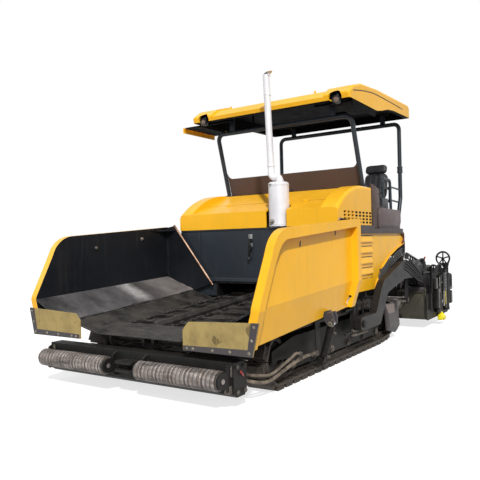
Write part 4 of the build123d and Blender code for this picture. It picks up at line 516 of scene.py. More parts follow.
class Shape:
    """A detail piece made of several closed solids, riding on a body.

    A side of 1 draws it on the left, -1 mirrors it to the right, and 0 is for a piece across the middle."""

    drawn = []

    def __init__(self, name, material, side=0, body="chassis", replaces=None):
        self.name = name + {1: "_left", -1: "_right", 0: ""}[side]
        self.material, self.side, self.body, self.replaces = material, side or 1, body, replaces
        self.mesh = bmesh.new()
        self.drawn.append(self)

    def at(self, place):
        x, s, z = place
        return Vector((self.side * x / 1000, back(s), z / 1000))

    def toward(self, way):
        """A direction on the shape's own side, and two more square to it."""
        way = Vector((self.side * way[0], way[1], way[2])).normalized()
        across = way.orthogonal().normalized()
        return way, across, way.cross(across)

    def skin(self, rings, caps=True):
        rows = [[self.mesh.verts.new(v) for v in ring] for ring in rings]
        count = len(rows[0])
        for a, b in zip(rows, rows[1:]):
            for i in range(count):
                j = (i + 1) % count
                self.mesh.faces.new((a[i], a[j], b[j], b[i]))
        if caps:
            self.mesh.faces.new(rows[0][::-1])
            self.mesh.faces.new(rows[-1])
        return self

    def loft(self, *rings):
        return self.skin([[self.at(place) for place in ring] for ring in rings])

    def box(self, x, s, z, bevel=3):
        corners = [self.mesh.verts.new(self.at((a, b, c))) for a in x for b in s for c in z]
        sides = ((0, 1, 3, 2), (4, 6, 7, 5), (0, 4, 5, 1), (2, 3, 7, 6), (0, 2, 6, 4), (1, 5, 7, 3))
        faces = [self.mesh.faces.new([corners[i] for i in side]) for side in sides]
        return self.softened(faces, bevel)

    def softened(self, faces, bevel):
        if bevel:
            lines = list(dict.fromkeys(edge for face in faces for edge in face.edges))
            bmesh.ops.bevel(self.mesh, geom=lines, affect="EDGES", offset=bevel / 1000, segments=2,
                            profile=0.5)
        return self

    def prism(self, axis, outline, low, high, bevel=0):
        """An outline drawn square to an axis (x, s or z) and carried along it from low to high."""
        index = "xsz".index(axis)
        before = set(self.mesh.faces)
        self.loft(*[[(*point[:index], far, *point[index:]) for point in outline] for far in (low, high)])
        return self.softened([face for face in self.mesh.faces if face not in before], bevel)

    def turned(self, base, toward, profile, sides=18):
        """A turned part: the profile is pairs of distance from the base and radius."""
        start = self.at(base)
        way, across, other = self.toward(toward)
        return self.skin([ring(start + way * (far / 1000), across, other, radius, sides)
                          for far, radius in profile])

    def rod(self, a, b, radius, sides=14):
        way = [q - p for p, q in zip(a, b)]
        length = math.hypot(*way)
        profile = ((0, radius - 0.8), (0.8, radius), (length - 0.8, radius), (length, radius - 0.8))
        return self.turned(a, way, profile, sides)

    def bolt(self, base, toward, size=20, washer=True):
        if washer:
            self.turned(base, toward, ((0, size * 0.95), (size * 0.14, size * 0.95)), 14)
        head = ((0, size * 0.58), (size * 0.5, size * 0.58), (size * 0.6, size * 0.48))
        return self.turned(base, toward, head, 6)

    def pipe(self, points, radius, bend=60, sides=10):
        """A bent steel tube through the points."""
        places = [Vector(p) for p in points]
        path = [places[0]]
        for before, corner, after in zip(places, places[1:], places[2:]):
            behind, ahead = (before - corner).normalized(), (after - corner).normalized()
            reach = min(bend, 0.45 * (before - corner).length, 0.45 * (after - corner).length)
            a, b = corner + behind * reach, corner + ahead * reach
            for k in range(7):
                t = k / 6
                path.append(a * (1 - t) ** 2 + corner * 2 * t * (1 - t) + b * t ** 2)
        path.append(places[-1])
        path = [self.at(p) for p in path]
        across, rings = None, []
        for i, here in enumerate(path):
            way = (path[min(i + 1, len(path) - 1)] - path[max(i - 1, 0)]).normalized()
            across = (way.orthogonal() if across is None else across - way * across.dot(way)).normalized()
            rings.append(ring(here, across, way.cross(across), radius, sides))
        return self.skin(rings)

    def hoop(self, middle, axis, radius, thick, sides=28, round_sides=8):
        """A ring of round bar."""
        way, across, other = self.toward(axis)
        here = self.at(middle)
        rings = []
        for k in range(sides + 1):
            a = math.tau * k / sides
            out = across * math.cos(a) + other * math.sin(a)
            rings.append(ring(here + out * (radius / 1000), out, way, thick, round_sides))
        self.skin(rings, caps=False)
        bmesh.ops.remove_doubles(self.mesh, verts=self.mesh.verts, dist=1e-6)
        return self

    def done(self):
        bmesh.ops.recalc_face_normals(self.mesh, faces=self.mesh.faces)
        data = bpy.data.meshes.new(self.name)
        self.mesh.to_mesh(data)
        self.mesh.free()
        shaded_smooth(data)
        data.set_sharp_from_angle(angle=SHARP)
        data.materials.append(self.material)
        piece = linked(self.name, data)
        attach(piece, self.body)
        if self.replaces:
            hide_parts(self.replaces)


# ---- hopper wings and aprons
WING_BOLTS = ((820, 1432), (1592, 1537))
APRON_BOLTS = ((760, 522), (830, 523), (1050, 526), (1240, 529), (1440, 531), (1470, 640), (1497, 755))
for name, side in SIDES:
    wing = f"wing_{name}"
    Shape("wing_edge_bar", COPPERY, side, wing).rod((634, 2076, 893), (1302, 2076, 1719), 15)
    gusset = Shape("wing_corner_gusset", BLACKPAINT, side, wing)
    gusset.prism("z", ((1449, 1720), (1449, 2086), (1282, 2086), (1420, 1900)), 1640, 1652, 3)
    gusset.prism("s", ((1449, 1000), (1449, 1075), (1400, 985)), 2070, 2086, 3)
    gusset.box((1436, 1451), (600, 612), (930, 1560), 2)
    plugs = Shape("wing_inner_bolts", BRIGHT, side, wing)
    for s, z in WING_BOLTS:
        plugs.turned((1450, s, z), INWARD, ((0, 25), (5, 25), (7, 22)), 18)
        plugs.bolt((1443, s, z), INWARD, 26, False)
    # painted shade: the slot holes are thin black ovals on the panel
    holes = Shape("wing_outer_slots", BLACK, side, wing)
    rims = Shape("wing_slot_rims", YELLOW, side, wing)
    for s, z in WING_BOLTS:
        oval = [(s + 14 * math.cos(a) + 6.4 * math.sin(a), z + 32 * math.sin(a))
                for a in (math.tau * k / 20 for k in range(20))]
        wide = [(s + (p - s) * 1.35, z + (q - z) * 1.2) for p, q in oval]
        rims.prism("x", wide, 1459, 1462, 1)
        holes.prism("x", oval, 1459, 1462.6)
    # painted shade: the lock slot is a thin black oval too
    oval = [(1417 + 33 * math.cos(a) + 8 * math.sin(a), 806 + 17 * math.sin(a))
            for a in (math.tau * k / 16 for k in range(16))]
    Shape("wing_lock_slot", BLACK, side, wing).prism("s", oval, 2003, 2004.5)
    pin = Shape("wing_lock_pin", CHROME, side, wing)
    pin.rod((1424, 1990, 800), (1392, 1980, 735), 9)
    pin.hoop((1390, 1980, 722), BACKWARD, 14, 4, 16, 6)
    fork = Shape("wing_fork_pin", BOLT, side, wing)
    for way in BOTH:
        s, z = 1500.4 + 54 * way, 573.3 + 4.2 * way
        fork.turned((1445, s, z), (0, way, way * FLOOR_SLOPE), ((-1, 27), (7, 27), (10, 24)), 20)
        fork.turned((1475, s, z + 44), (0, way, way * FLOOR_SLOPE), ((0, 11), (6, 11), (8, 8)), 6)
    belts = Shape("apron_bolts", BOLT, side, wing)
    for x, z in APRON_BOLTS:
        belts.bolt((x, -47.3, z), FORWARD, 15)
    seams = Shape("apron_folds", TAN, side, wing)
    for x in (800, 1090, 1380):
        seams.box((x, x + 5), (-41.5, -38), (548, 758 + (x - 775) * 0.04), 1.2)

# ---- hopper: rear wall, floor and conveyor
lip = Shape("hopper_wall_lips", BLUEBLACK)
lip.box((-1210, 1210), (2136, 2146), (1618, 1640), 3)
lip.prism("x", ((2146, 985), (2118, 975), (2112, 940), (2120, 936), (2128, 966), (2146, 972)), -900, 900)
for x in (-905, 893):
    lip.box((x, x + 12), (2134, 2146), (985, 1615), 2)
latch = Shape("hopper_wall_latch_plates", PALESTEEL)
for z in ((1500, 1560), (1392, 1446)):
    latch.box((-66, -6), (2134, 2146), z, 3)
for x in (-54, -18):
    for z in (1512, 1548, 1404, 1434):
        latch.bolt((x, 2134, z), FORWARD, 7, False)
handle = Shape("hopper_wall_latch", BLACKSATIN)
handle.box((-52, -20), (2110, 2136), (1452, 1492), 6)
handle.box((-56, -16), (2112, 2136), (1340, 1418), 8)
handle.pipe(((-35, 2120, 1470), (-35, 2108, 1420), (-38, 2106, 1330), (-50, 2112, 1250)), 13, 30)
handle.turned((-50, 2112, 1262), (0.1, 0, -1), ((0, 15), (6, 19), (44, 19), (50, 12)), 14)
rivets = Shape("hopper_wall_bolts", IRON)
for k in range(9):
    rivets.bolt((-800 + 200 * k, 2136, 1628), FORWARD, 10, False)
chain = Shape("conveyor_chain_links", STAINED)
for sx in BOTH:
    for x in (65, 555):
        for k in range(25):
            s = 345 + 75 * k
            z = floor_at(s) * 1000 + 16
            chain.turned((sx * x - 22, s, z), OUT, ((0, 9), (2, 11), (42, 11), (44, 9)), 8)
            if k % 2:
                for off in (-15, 11):
                    chain.prism("x", ((s - 62, z + 1), (s - 50, z + 13), (s - 25, z + 13), (s - 13, z + 1),
                                      (s - 25, z - 9), (s - 50, z - 9)), sx * x + off, sx * x + off + 5)
studs = Shape("conveyor_slat_bolts", STAINED)
for sx in BOTH:
    for k in range(6):
        s = 330 + 300 * k
        for x in (110, 310, 510):
            studs.turned((sx * x, s, floor_at(s) * 1000 + 42), (0, -FLOOR_SLOPE, 1),
                         ((0, 13), (5, 13), (9, 8)), 12)

# ---- hood, exhaust and screen
# painted shade: a near-black box behind the grille, so that its openings look dark
grille = Shape("grille_backing", SHADE_BLACK)
for sx in BOTH:
    grille.box((sx * 1226 - 8, sx * 1226 + 8), (2660, 3170), (1660, 1822), 0)


def hood_top(s):
    """Height of the hood's sloping top."""
    return 1857 + (s - 2130) * (2155 - 1857) / (2980 - 2130)


seam = Shape("hood_seams", SEAM)
low = hood_top(2476)
for a, b in ((-1004, 195), (545, 1004)):
    seam.prism("x", ((2476, low - 4), (2476, low + 0.8), (2481, low + 2.6), (2481, low - 3)), a, b)
catches = Shape("hood_catches", RUBBER)
for sx in BOTH:
    catches.box((sx * 1250 - 14, sx * 1250 + 2), (3050, 3100), (1626, 1642), 4)
lifting = Shape("hood_lifting_eyes", YELLOW)
for sx in BOTH:
    lifting.box((sx * 620 - 22, sx * 620 + 22), (2440, 2500), (hood_top(2470) - 8, hood_top(2470) + 14), 5)
bands = Shape("muffler_bands", SILVER)
for z in (1668, 2168):
    bands.turned((370, 2215, z), UP, ((0, 132), (1, 135.5), (21, 135.5), (22, 132)), 40)
bands.turned((370, 2215, 1650), UP, ((0, 126), (2, 139), (10, 139), (12, 130)), 40)
bands.turned((370, 2215, 2208), UP, ((0, 120), (6, 112), (12, 70), (13, 50)), 40)
bands.turned((390, 2215, 2226), UP, ((0, 46), (1, 52), (17, 52), (18, 46)), 26)
bands.turned((262, 2215, 2420), (-0.04, 0, 1), ((0, 44), (1, 49), (19, 49), (20, 44)), 26)
bands.turned((232, 2215, 3340), (-0.033, 0, 1), ((0, 44), (1, 47), (15, 47), (16, 44)), 26)
port = Shape("muffler_port", BRIGHT)
port_way = (-0.18, -1, 0)
port.turned((345, 2089, 1712), port_way, ((0, 34), (14, 34), (16, 30)), 22)
port.turned((343, 2073, 1712), port_way, ((0, 20), (10, 20), (13, 15)), 6)
for x, z in ((318, 1735), (372, 1690)):
    port.turned((x, 2092, z), port_way, ((0, 8), (8, 8), (10, 5)), 6)
for z in (1679, 2179):
    port.rod((330, 2074, z), (300, 2080, z), 6, 8)
    port.box((318, 340), (2070, 2090), (z - 9, z + 9), 3)
screen = Shape("screen_fittings", BLACK)
screen.box((-10, 34), (3146, 3162), (2188, 2212), 4)
for x in (-1040, -520, 520, 1040):
    screen.turned((x, 3150, 2196), (0, -1, -0.1), ((0, 9), (5, 9), (8, 6)), 8)
for sx in BOTH:
    for off in (-50, 50):
        for s in (3112, 3190):
            screen.bolt((sx * 1120 + off, s, 2175), UP, 16)

# ---- canopy
for _, side in SIDES:
    lamp = Shape("roof_lamp", BLACK, side)
    lamp.turned((1072, 2580, 3226), (0, -1, -0.06),
                ((0, 34), (20, 46), (62, 52), (88, 52), (90, 44), (76, 40)), 30)
    lamp.box((1058, 1086), (2540, 2584), (3262, 3300), 4)
    lens = Shape("roof_lamp_lens", LENS, side)
    lens.turned((1072, 2508, 3222), (0, -1, -0.06), ((0, 42), (6, 40), (11, 30), (14, 15), (15, 4)), 30)
    # painted shade: the groove along the roof's side is a thin black bar
    groove = Shape("roof_side_groove", BLACK, side)
    groove.pipe(((1262, 2600, 3332), (1262, 2920, 3392), (1262, 3270, 3432), (1262, 3800, 3436),
                 (1262, 4420, 3430)), 6, 120, 8)
    brackets = Shape("canopy_bolts", IRON, side)
    for z in (2496, 2578):
        brackets.turned((1100, 4710, z), UP, ((0, 42), (2, 46), (14, 46), (16, 42)), 22)

# ---- operators' stand
for _, side in SIDES:
    rail = Shape("grab_rail", BLUEBLACK, side)
    rail.pipe(((1130, 3890, 1862), (1130, 3872, 2335), (1130, 4165, 2335), (1130, 4190, 1862)), 22, 60, 14)
    rail.pipe(((1130, 4176, 2235), (1104, 4500, 2232), (1100, 4690, 2225)), 14, 40, 10)
    rail.pipe(((1130, 4184, 2036), (1104, 4500, 2030), (1100, 4668, 2026)), 14, 40, 10)
    for s in (3890, 4190):
        rail.turned((1130, s, 1858), UP, ((0, 34), (8, 34), (12, 22)), 18)
    wall = Shape("stand_side_wall", BROWN, side)
    wall.prism("x", ((3215, 1604), (3215, 2196), (3240, 2204), (3460, 2150), (3476, 2120), (3476, 1604)),
               1196, 1236, 8)
    wall.box((1236, 1240), (3250, 3440), (1940, 2060), 2)
    for s in (3236, 3456):
        for z in (1700, 1880, 2080):
            wall.bolt((1236, s, z), OUT, 12)
    console = Shape("console_cover", CONSOLE, side)
    console.prism("x", ((3400, 1612), (3400, 1800), (3432, 1876), (3500, 1892), (4190, 1880), (4258, 1850),
                        (4262, 1700), (4200, 1612)), 1108, 1262, 16)
    trim = Shape("console_trim", BLACK, side)
    trim.box((1140, 1232), (3560, 3760), (1886, 1898), 6)
    trim.turned((1186, 3640, 1894), UP,
                ((0, 34), (10, 30), (22, 16), (26, 9), (120, 9), (124, 20), (170, 23), (196, 15)), 18)
    trim.pipe(((1262, 3440, 1650), (1266, 3440, 1640), (1266, 4200, 1640)), 4, 8, 8)
    for s in (3700, 3722, 3744):
        trim.turned((1218, s, 1896), UP, ((0, 8), (12, 7), (14, 4)), 10)
    Shape("console_screen", GLASS, side).box((1116, 1138), (3800, 4010), (1905, 2040), 6)
    stem = Shape("console_screen_arm", GREYPLASTIC, side)
    stem.box((1138, 1160), (3792, 4018), (1897, 2048), 8)
    stem.rod((1165, 3905, 1880), (1158, 3905, 1960), 14)


def pad_block(half, power=4.5):
    """A rounded closed block, a little smaller than the pad it swells into."""
    block = bmesh.new()
    bmesh.ops.create_cube(block, size=2)
    bmesh.ops.subdivide_edges(block, edges=block.edges, cuts=11, use_grid_fill=True)
    for vert in block.verts:
        size = sum(abs(v) ** power for v in vert.co) ** (1 / power)
        vert.co = Vector([v / size * h * 0.94 / 1000 for v, h in zip(vert.co, half)])
    data = bpy.data.meshes.new("block")
    block.to_mesh(data)
    block.free()
    return data


def applied(thing):
    """Makes the modifiers' result the piece's own mesh."""
    result = bpy.data.meshes.new_from_object(thing.evaluated_get(bpy.context.evaluated_depsgraph_get()))
    thing.modifiers.clear()
    thing.data = result


def swollen(data, voxel, cap):
    """The block blown up as cloth, no point further than the cap from where it began."""
    thing = linked("swelling", data)
    remesh = thing.modifiers.new("remesh", "REMESH")
    remesh.mode, remesh.voxel_size = "VOXEL", voxel
    bpy.context.view_layer.update()
    applied(thing)
    start = [vert.co.copy() for vert in thing.data.vertices]
    cloth = thing.modifiers.new("cloth", "CLOTH")
    cloth.settings.use_pressure = True
    cloth.settings.uniform_pressure_force = 4
    cloth.settings.quality = 4
    cloth.settings.effector_weights.gravity = 0
    cloth.collision_settings.use_collision = False
    cloth.collision_settings.use_self_collision = False
    for frame_number in range(1, 21):
        bpy.context.scene.frame_set(frame_number)
    applied(thing)
    bpy.context.scene.frame_set(1)
    for vert, before in zip(thing.data.vertices, start):
        move = vert.co - before
        if move.length > cap:
            vert.co = before + move * (cap / move.length)
    result = thing.data
    bpy.data.objects.remove(thing)
    return result


GROOVE_DEPTH, GROOVE_SPREAD = 0.006, 0.00022
RIM_PULL, RIM_HEIGHT = 0.012, 0.012


def pad(name, half, centre, lean, channels, side):
    """A seat pad: a swollen block with sewn channels and a pulled-in rim, leant back and put in place."""
    data = PADS[name.rsplit("_", 1)[0]].copy()
    depth = half[2] / 1000
    for vert in data.vertices:
        x, y, z = vert.co
        groove = sum(math.exp(-((x if across else y) - at / 1000) ** 2 / GROOVE_SPREAD)
                     for across, at in channels)
        vert.co.z -= math.copysign(GROOVE_DEPTH, z) * min(1, groove) * min(1, abs(z) / depth * 1.6)
        rim = RIM_PULL * math.exp(-(z / RIM_HEIGHT) ** 2)
        vert.co.x *= 1 - rim
        vert.co.y *= 1 - rim
    data.materials.append(VINYL)
    shaded_smooth(data)
    piece = linked(name, data)
    place = Vector((side * centre[0] / 1000, back(centre[1]), centre[2] / 1000))
    data.transform(Matrix.Translation(place) @ Matrix.Rotation(math.radians(lean), 4, "X"))
    more = piece.modifiers.new("subdivision", "SUBSURF")
    more.levels = more.render_levels = 1
    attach(piece, "chassis")
    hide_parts("seats")


# name, half sizes, centre, lean, sewn channels (across the seat, at), fill
PAD_TABLE = (
    ("seat_cushion", (232, 205, 66), (850, 4020, 1992), 3, ((True, -120), (True, 120), (False, 60)), 0.8),
    ("seat_back", (220, 245, 60), (850, 4306, 2268), 75,
     ((True, -130), (True, -45), (True, 45), (True, 130)), 0.8),
    ("seat_headrest", (182, 74, 46), (850, 4342, 2532), 72, (), 0.85),
)
VOXEL, MOST_MOVE = 0.011, 0.024
PADS = {name: swollen(pad_block(half), VOXEL, MOST_MOVE) for name, half, *_ in PAD_TABLE}
for name, side in SIDES:
    for piece_name, half, centre, lean, channels, fill in PAD_TABLE:
        pad(f"{piece_name}_{name}", half, centre, lean, channels, side)
    bellows = Shape("seat_bellows", RUBBER, side, replaces="seats")
    for k in range(9):
        grow = 12 if k % 2 else 0
        bellows.box((735 - grow, 965 + grow), (3915 - grow, 4185 + grow), (1612 + 30 * k, 1644 + 30 * k), 12)
    bellows.box((700, 1000), (3880, 4200), (1600, 1614), 4)
    pan = Shape("seat_pan", GREYPLASTIC, side, replaces="seats")
    pan.box((640, 1060), (3840, 4230), (1884, 1930), 14)
    pan.prism("x", ((4215, 1900), (4262, 1890), (4300, 1960), (4392, 2440), (4374, 2450), (4326, 2260)),
              700, 1000, 10)
    for x in (812, 872):
        pan.box((x, x + 16), (4366, 4382), (2420, 2520), 3)
    rests = Shape("seat_armrests", BLACK, side, replaces="seats")
    for x in (594, 1076):
        rests.box((x, x + 30), (4235, 4275), (2000, 2205), 8)
        rests.box((x - 14, x + 44), (3960, 4290), (2196, 2236), 16)
    rests.box((604, 1096), (4240, 4262), (2010, 2044), 6)
Shape("platform_tread", TREAD).box((-1100, 1100), (3420, 4296), (1599, 1604), 1.5)
bars = Shape("platform_tread_bars", TREAD)
for i in range(22):
    for j in range(18):
        x, s = -1050 + 100 * i, 3450 + 47 * j
        turn = 1 if (i + j) % 2 else -1
        bars.prism("z", ((x - 14, s - 12 * turn), (x - 11, s - 14 * turn), (x + 14, s + 12 * turn),
                         (x + 11, s + 14 * turn)), 1603.5, 1606)
dash = Shape("dashboard_fittings", BLACK)
for x in (-850, 850):
    dash.prism("x", ((3395, 1900), (3384, 2120), (3398, 2130), (3412, 1905)), x - 130, x + 130, 4)
    dash.pipe(((x, 3390, 2080), (x, 3470, 2130)), 22, 10)
    dash.hoop((x, 3480, 2138), (0, 0.8, 0.6), 165, 14, 36, 10)
    for a in (0.5, 2.6, 4.7):
        dash.rod((x, 3478, 2136), (x + 160 * math.cos(a), 3478 - 96 * math.sin(a), 2136 + 128 * math.sin(a)),
                 9, 8)
steps = Shape("rear_ladders", GREY)
for sx in BOTH:
    for k in range(3):
        steps.box((sx * 1030 - 150, sx * 1030 + 150), (4344, 4410), (1300 - 150 * k, 1318 - 150 * k), 4)
    for off in (-146, 146):
        steps.box((sx * 1030 + off - 6, sx * 1030 + off + 6), (4344, 4412), (985, 1500), 3)

# ---- sides and rear corners
for name, side in SIDES:
    # painted shade: the louvre's slots are thin black strips on the door
    strips = Shape("louvre_slots", BLACK, side, f"louvre_{name}")
    for row in range(4):
        low = 1000 + 140 * row
        strips.prism("x", ((2712, low + 82), (2716, low + 93), (3148, low + 93), (3152, low + 82)),
                     1235, 1238.5)
    lines = Shape("arch_pipes", PALEPIPE, side)
    for k in range(4):
        lift = 34 * k
        lines.pipe(((1252, 3300, 640 + lift), (1252, 3330, 860 + lift), (1252, 3560, 985 + lift),
                    (1252, 3800, 1065 + lift), (1252, 4080, 1150 + lift), (1240, 4326, 1200 + lift)),
                   10, 120, 10)
    clamps = Shape("arch_pipe_clamps", IRON, side)
    for s, z in ((3420, 920), (3740, 1046), (4090, 1152)):
        clamps.box((1224, 1266), (s - 14, s + 14), (z - 20, z + 124), 6)
    Shape("rear_reflector", REDLENS, side).box((1196, 1236), (4330, 4344), (1330, 1430), 5)
    knob = Shape("rear_corner_fittings", BLACK, side)
    knob.turned((1235, 4290, 1570), OUT, ((0, 34), (24, 34), (28, 28)), 22)
    drops = Shape("rear_corner_pipes", HOSE, side)
    for k in range(4):
        x = 1252 - 26 * k
        drops.pipe(((x, 4290, 1520 - 20 * k), (x, 4372 + 8 * k, 1500 - 20 * k), (x, 4404 + 8 * k, 1360),
                    (x, 4392, 1210), (x - 8, 4318, 1120 + 12 * k)), 12, 60, 10)
    drops.box((1160, 1266), (4300, 4330), (1080, 1190), 6)
    bend = Shape("rear_corner_pipe", REDPIPE, side)
    bend.pipe(((1245, 4300, 1560), (1256, 4368, 1540), (1258, 4376, 1440), (1236, 4326, 1375)), 12, 40, 12)
    bend.turned((1240, 4334, 1384), (-0.3, -0.6, -0.7), ((-12, 20), (12, 20)), 6)
    rungs = Shape("side_step", WORNPIPE, side)
    for z in (288, 342):
        rungs.rod((1281, 2372, z), (1281, 2812, z - 8), 19)
    hangers = Shape("side_step_hangers", DARK, side)
    for s in (2392, 2770):
        hangers.box((1249, 1299), (s - 16, s + 16), (262, 370), 4)
        hangers.box((1249, 1259), (s - 20, s + 20), (266, 700), 4)
        for z in (640, 580):
            hangers.bolt((1259, s, z), OUT, 18)

# ---- levelling cylinders and pipes beside the tracks
for _, side in SIDES:
    level = Shape("levelling_cylinder", DARK, side)
    level.turned((1268, 2240, 690), (0, 1, -0.1),
                 ((0, 22), (2, 27), (30, 27), (31, 25), (300, 25), (301, 28), (340, 28), (342, 22)), 22)
    level.turned((1268, 2580, 656), (0, 1, -0.1), ((-20, 26), (20, 26)), 22)
    level.box((1246, 1292), (2560, 2620), (630, 700), 8)
    Shape("levelling_rod", CHROME, side).rod((1268, 2150, 699), (1268, 2244, 690), 12)
    guards = Shape("track_front_pipes", WORNPIPE, side)
    guards.pipe(((1200, 170, 250), (1262, 260, 200), (1278, 480, 150), (1286, 900, 235), (1280, 1180, 262),
                 (1268, 1440, 245)), 17, 90, 12)
    guards.pipe(((1200, 170, 300), (1256, 260, 262), (1278, 520, 205), (1284, 840, 285), (1280, 1010, 330),
                 (1280, 1080, 300)), 15, 90, 12)
    guardclamp = Shape("track_pipe_clamps", IRON, side)
    guardclamp.box((1256, 1306), (1060, 1100), (238, 322), 6)
    guardclamp.bolt((1281, 1080, 322), UP, 16)
    guardclamp.box((1244, 1300), (1420, 1462), (220, 272), 6)

# ---- sprocket guards and track frames
for _, side in SIDES:
    foot = ((3575, 178), (3512, 536), (3844, 520), (4060, 272), (4060, 168), (3900, 100))
    crown = ((3600, 215), (3556, 400), (3790, 396), (3995, 250), (3995, 190), (3890, 135))
    levels = ((1260, foot), (1268, foot), (1297, crown))
    Shape("sprocket_cover", GREY, side).loft(*[[(x, s, z) for s, z in outline] for x, outline in levels])
    # painted light: the guard's upward facet is a thin sheet in a lighter grey
    low = ((1296, 3562, 404), (1296, 3786, 400), (1268, 3838, 516), (1268, 3520, 532))
    high = ((1298.5, 3562, 406), (1298.5, 3786, 402), (1270.5, 3838, 519), (1270.5, 3520, 535))
    Shape("sprocket_cover_facet", LIT_FACET, side).loft(low, high)
    hubs = Shape("sprocket_cover_bolts", BOLT, side)
    for s, z in ((3600, 330), (3940, 250), (3640, 230), (3860, 180)):
        hubs.bolt((1297, s, z), OUT, 12, False)
    frames = Shape("track_frame_bolts", IRON, side)
    for k in range(6):
        s = 1120 + (3380 - 1120) / 5 * k
        frames.turned((1170, s, 180), OUT, ((0, 44), (8, 44), (12, 30), (22, 30), (24, 24)), 20)
        for a in (0.8, 2.4, 3.9, 5.5):
            frames.bolt((1178, s + 36 * math.cos(a), 180 + 36 * math.sin(a)), OUT, 8, False)

# ---- push beam and push rollers
for name, side in SIDES:
    ends = Shape("beam_end_fittings", IRON, side)
    ends.box((1170, 1226), (-10, 2), (300, 400), 5)
    for z in (375, 325):
        ends.bolt((1198, -10, z), FORWARD, 18)
    ends.box((1176, 1220), (-34, 2), (150, 225), 6)
    ends.hoop((1198, -46, 186), OUT, 26, 9, 22, 8)
    for s, z in ((40, 380), (150, 380), (40, 160), (150, 160)):
        ends.bolt((1255, s, z), OUT, 22)
    mark = Shape("beam_reflector", REDLENS, side)
    mark.prism("x", ((70, 330), (82, 350), (128, 300), (120, 282)), 1254, 1259, 2)
    caps = Shape("push_roller_ends", IRON, side, f"push_roller_{name}")
    for x, way in ((1180, 1), (232, -1)):
        caps.turned((x, -115, 285), (way, 0, 0), ((-2, 70), (3, 70), (4, 62), (5, 34)), 30)

# ---- screed's front
for _, side in SIDES:
    plate = Shape("screed_front_plate", SIDEPLATE, side, "screed_frame")
    plate.box((952, 1422), (4890, 4902), (170, 590), 4)
    plate.box((952, 972), (4872, 4906), (160, 596), 4)
    plate.box((1400, 1424), (4868, 4912), (150, 640), 4)
    plate.box((952, 1424), (4868, 4912), (580, 600), 4)
    plate.box((952, 1424), (4876, 4920), (150, 176), 4)
    plate.prism("s", ((1150, 176), (1186, 176), (1412, 584), (1380, 584)), 4874, 4892, 3)
    Shape("screed_front_box", GREY, side, "screed_frame").box((1095, 1398), (4884, 4990), (604, 664), 8)
    grip = Shape("screed_front_fittings", BLACK, side, "screed_frame")
    grip.pipe(((1180, 4884, 634), (1180, 4862, 634), (1310, 4862, 634), (1310, 4884, 634)), 7, 14, 10)
    for k in range(7):
        grip.bolt((962, 4872, 190 + 60 * k), FORWARD, 10, False)

# ---- screed's valves and pipes
for _, side in SIDES:
    block = Shape("screed_valve_block", IRON, side, "screed_frame")
    block.box((1180, 1290), (4980, 5160), (800, 900), 6)
    redcaps = Shape("valve_caps", REDLENS, side, "screed_frame")
    for k in range(4):
        x = 1200 + 24 * k
        block.turned((x, 4984, 850), FORWARD, ((0, 10), (26, 10), (28, 14), (40, 14)), 6)
        block.turned((x, 5070, 898), UP, ((0, 9), (36, 9), (38, 13), (56, 13)), 12)
        redcaps.turned((x, 5070, 952), UP, ((0, 12), (12, 12), (18, 7)), 12)
    runs = Shape("screed_pipes", HOSE, side, "screed_frame")
    for k in range(5):
        x = 1080 + 34 * k
        runs.pipe(((x, 5000, 640), (x, 5040, 790 + 20 * k), (x + 20, 5200, 860 + 22 * k),
                   (x + 60, 5460, 850 - 14 * k), (x + 90, 5640, 780 - 16 * k), (x + 90, 5700, 640)),
                  11, 80, 10)
    for k in range(3):
        x = 1320 + 26 * k
        runs.pipe(((x, 5000, 905), (x, 5120, 985 - 20 * k), (x, 5330, 960 - 20 * k), (x, 5400, 800)),
                  10, 70, 10)
    mass = Shape("screed_hydraulics", BLACKSATIN, side, "screed_frame")
    mass.box((1110, 1296), (4990, 5200), (664, 800), 10)
    mass.turned((1120, 5330, 760), (0.1, 1, 0.02),
                ((0, 40), (4, 52), (260, 52), (262, 44), (330, 44), (334, 30)), 22)
    mass.turned((1245, 5240, 690), (0, 0.15, 1),
                ((0, 46), (6, 56), (190, 56), (196, 40), (260, 40), (264, 22)), 22)
    mass.turned((1100, 5120, 800), UP, ((0, 60), (6, 70), (110, 70), (116, 40), (150, 40), (152, 20)), 24)
    mass.box((1150, 1290), (5420, 5560), (640, 830), 10)
    loops = Shape("screed_loops", HOSE, side, "screed_frame")
    for k in range(6):
        x = 1120 + 30 * k
        loops.pipe(((x, 4960, 700), (x + 6, 4930, 880 + 14 * k), (x + 12, 5060, 1010 + 12 * k),
                    (x + 20, 5260, 960 + 10 * k), (x + 26, 5330, 800)), 13, 90, 10)
        loops.pipe(((x - 20, 5210, 780), (x, 5260, 940 - 12 * k), (x + 30, 5430, 1000 - 16 * k),
                    (x + 40, 5600, 900 - 16 * k), (x + 40, 5610, 700)), 12, 90, 10)

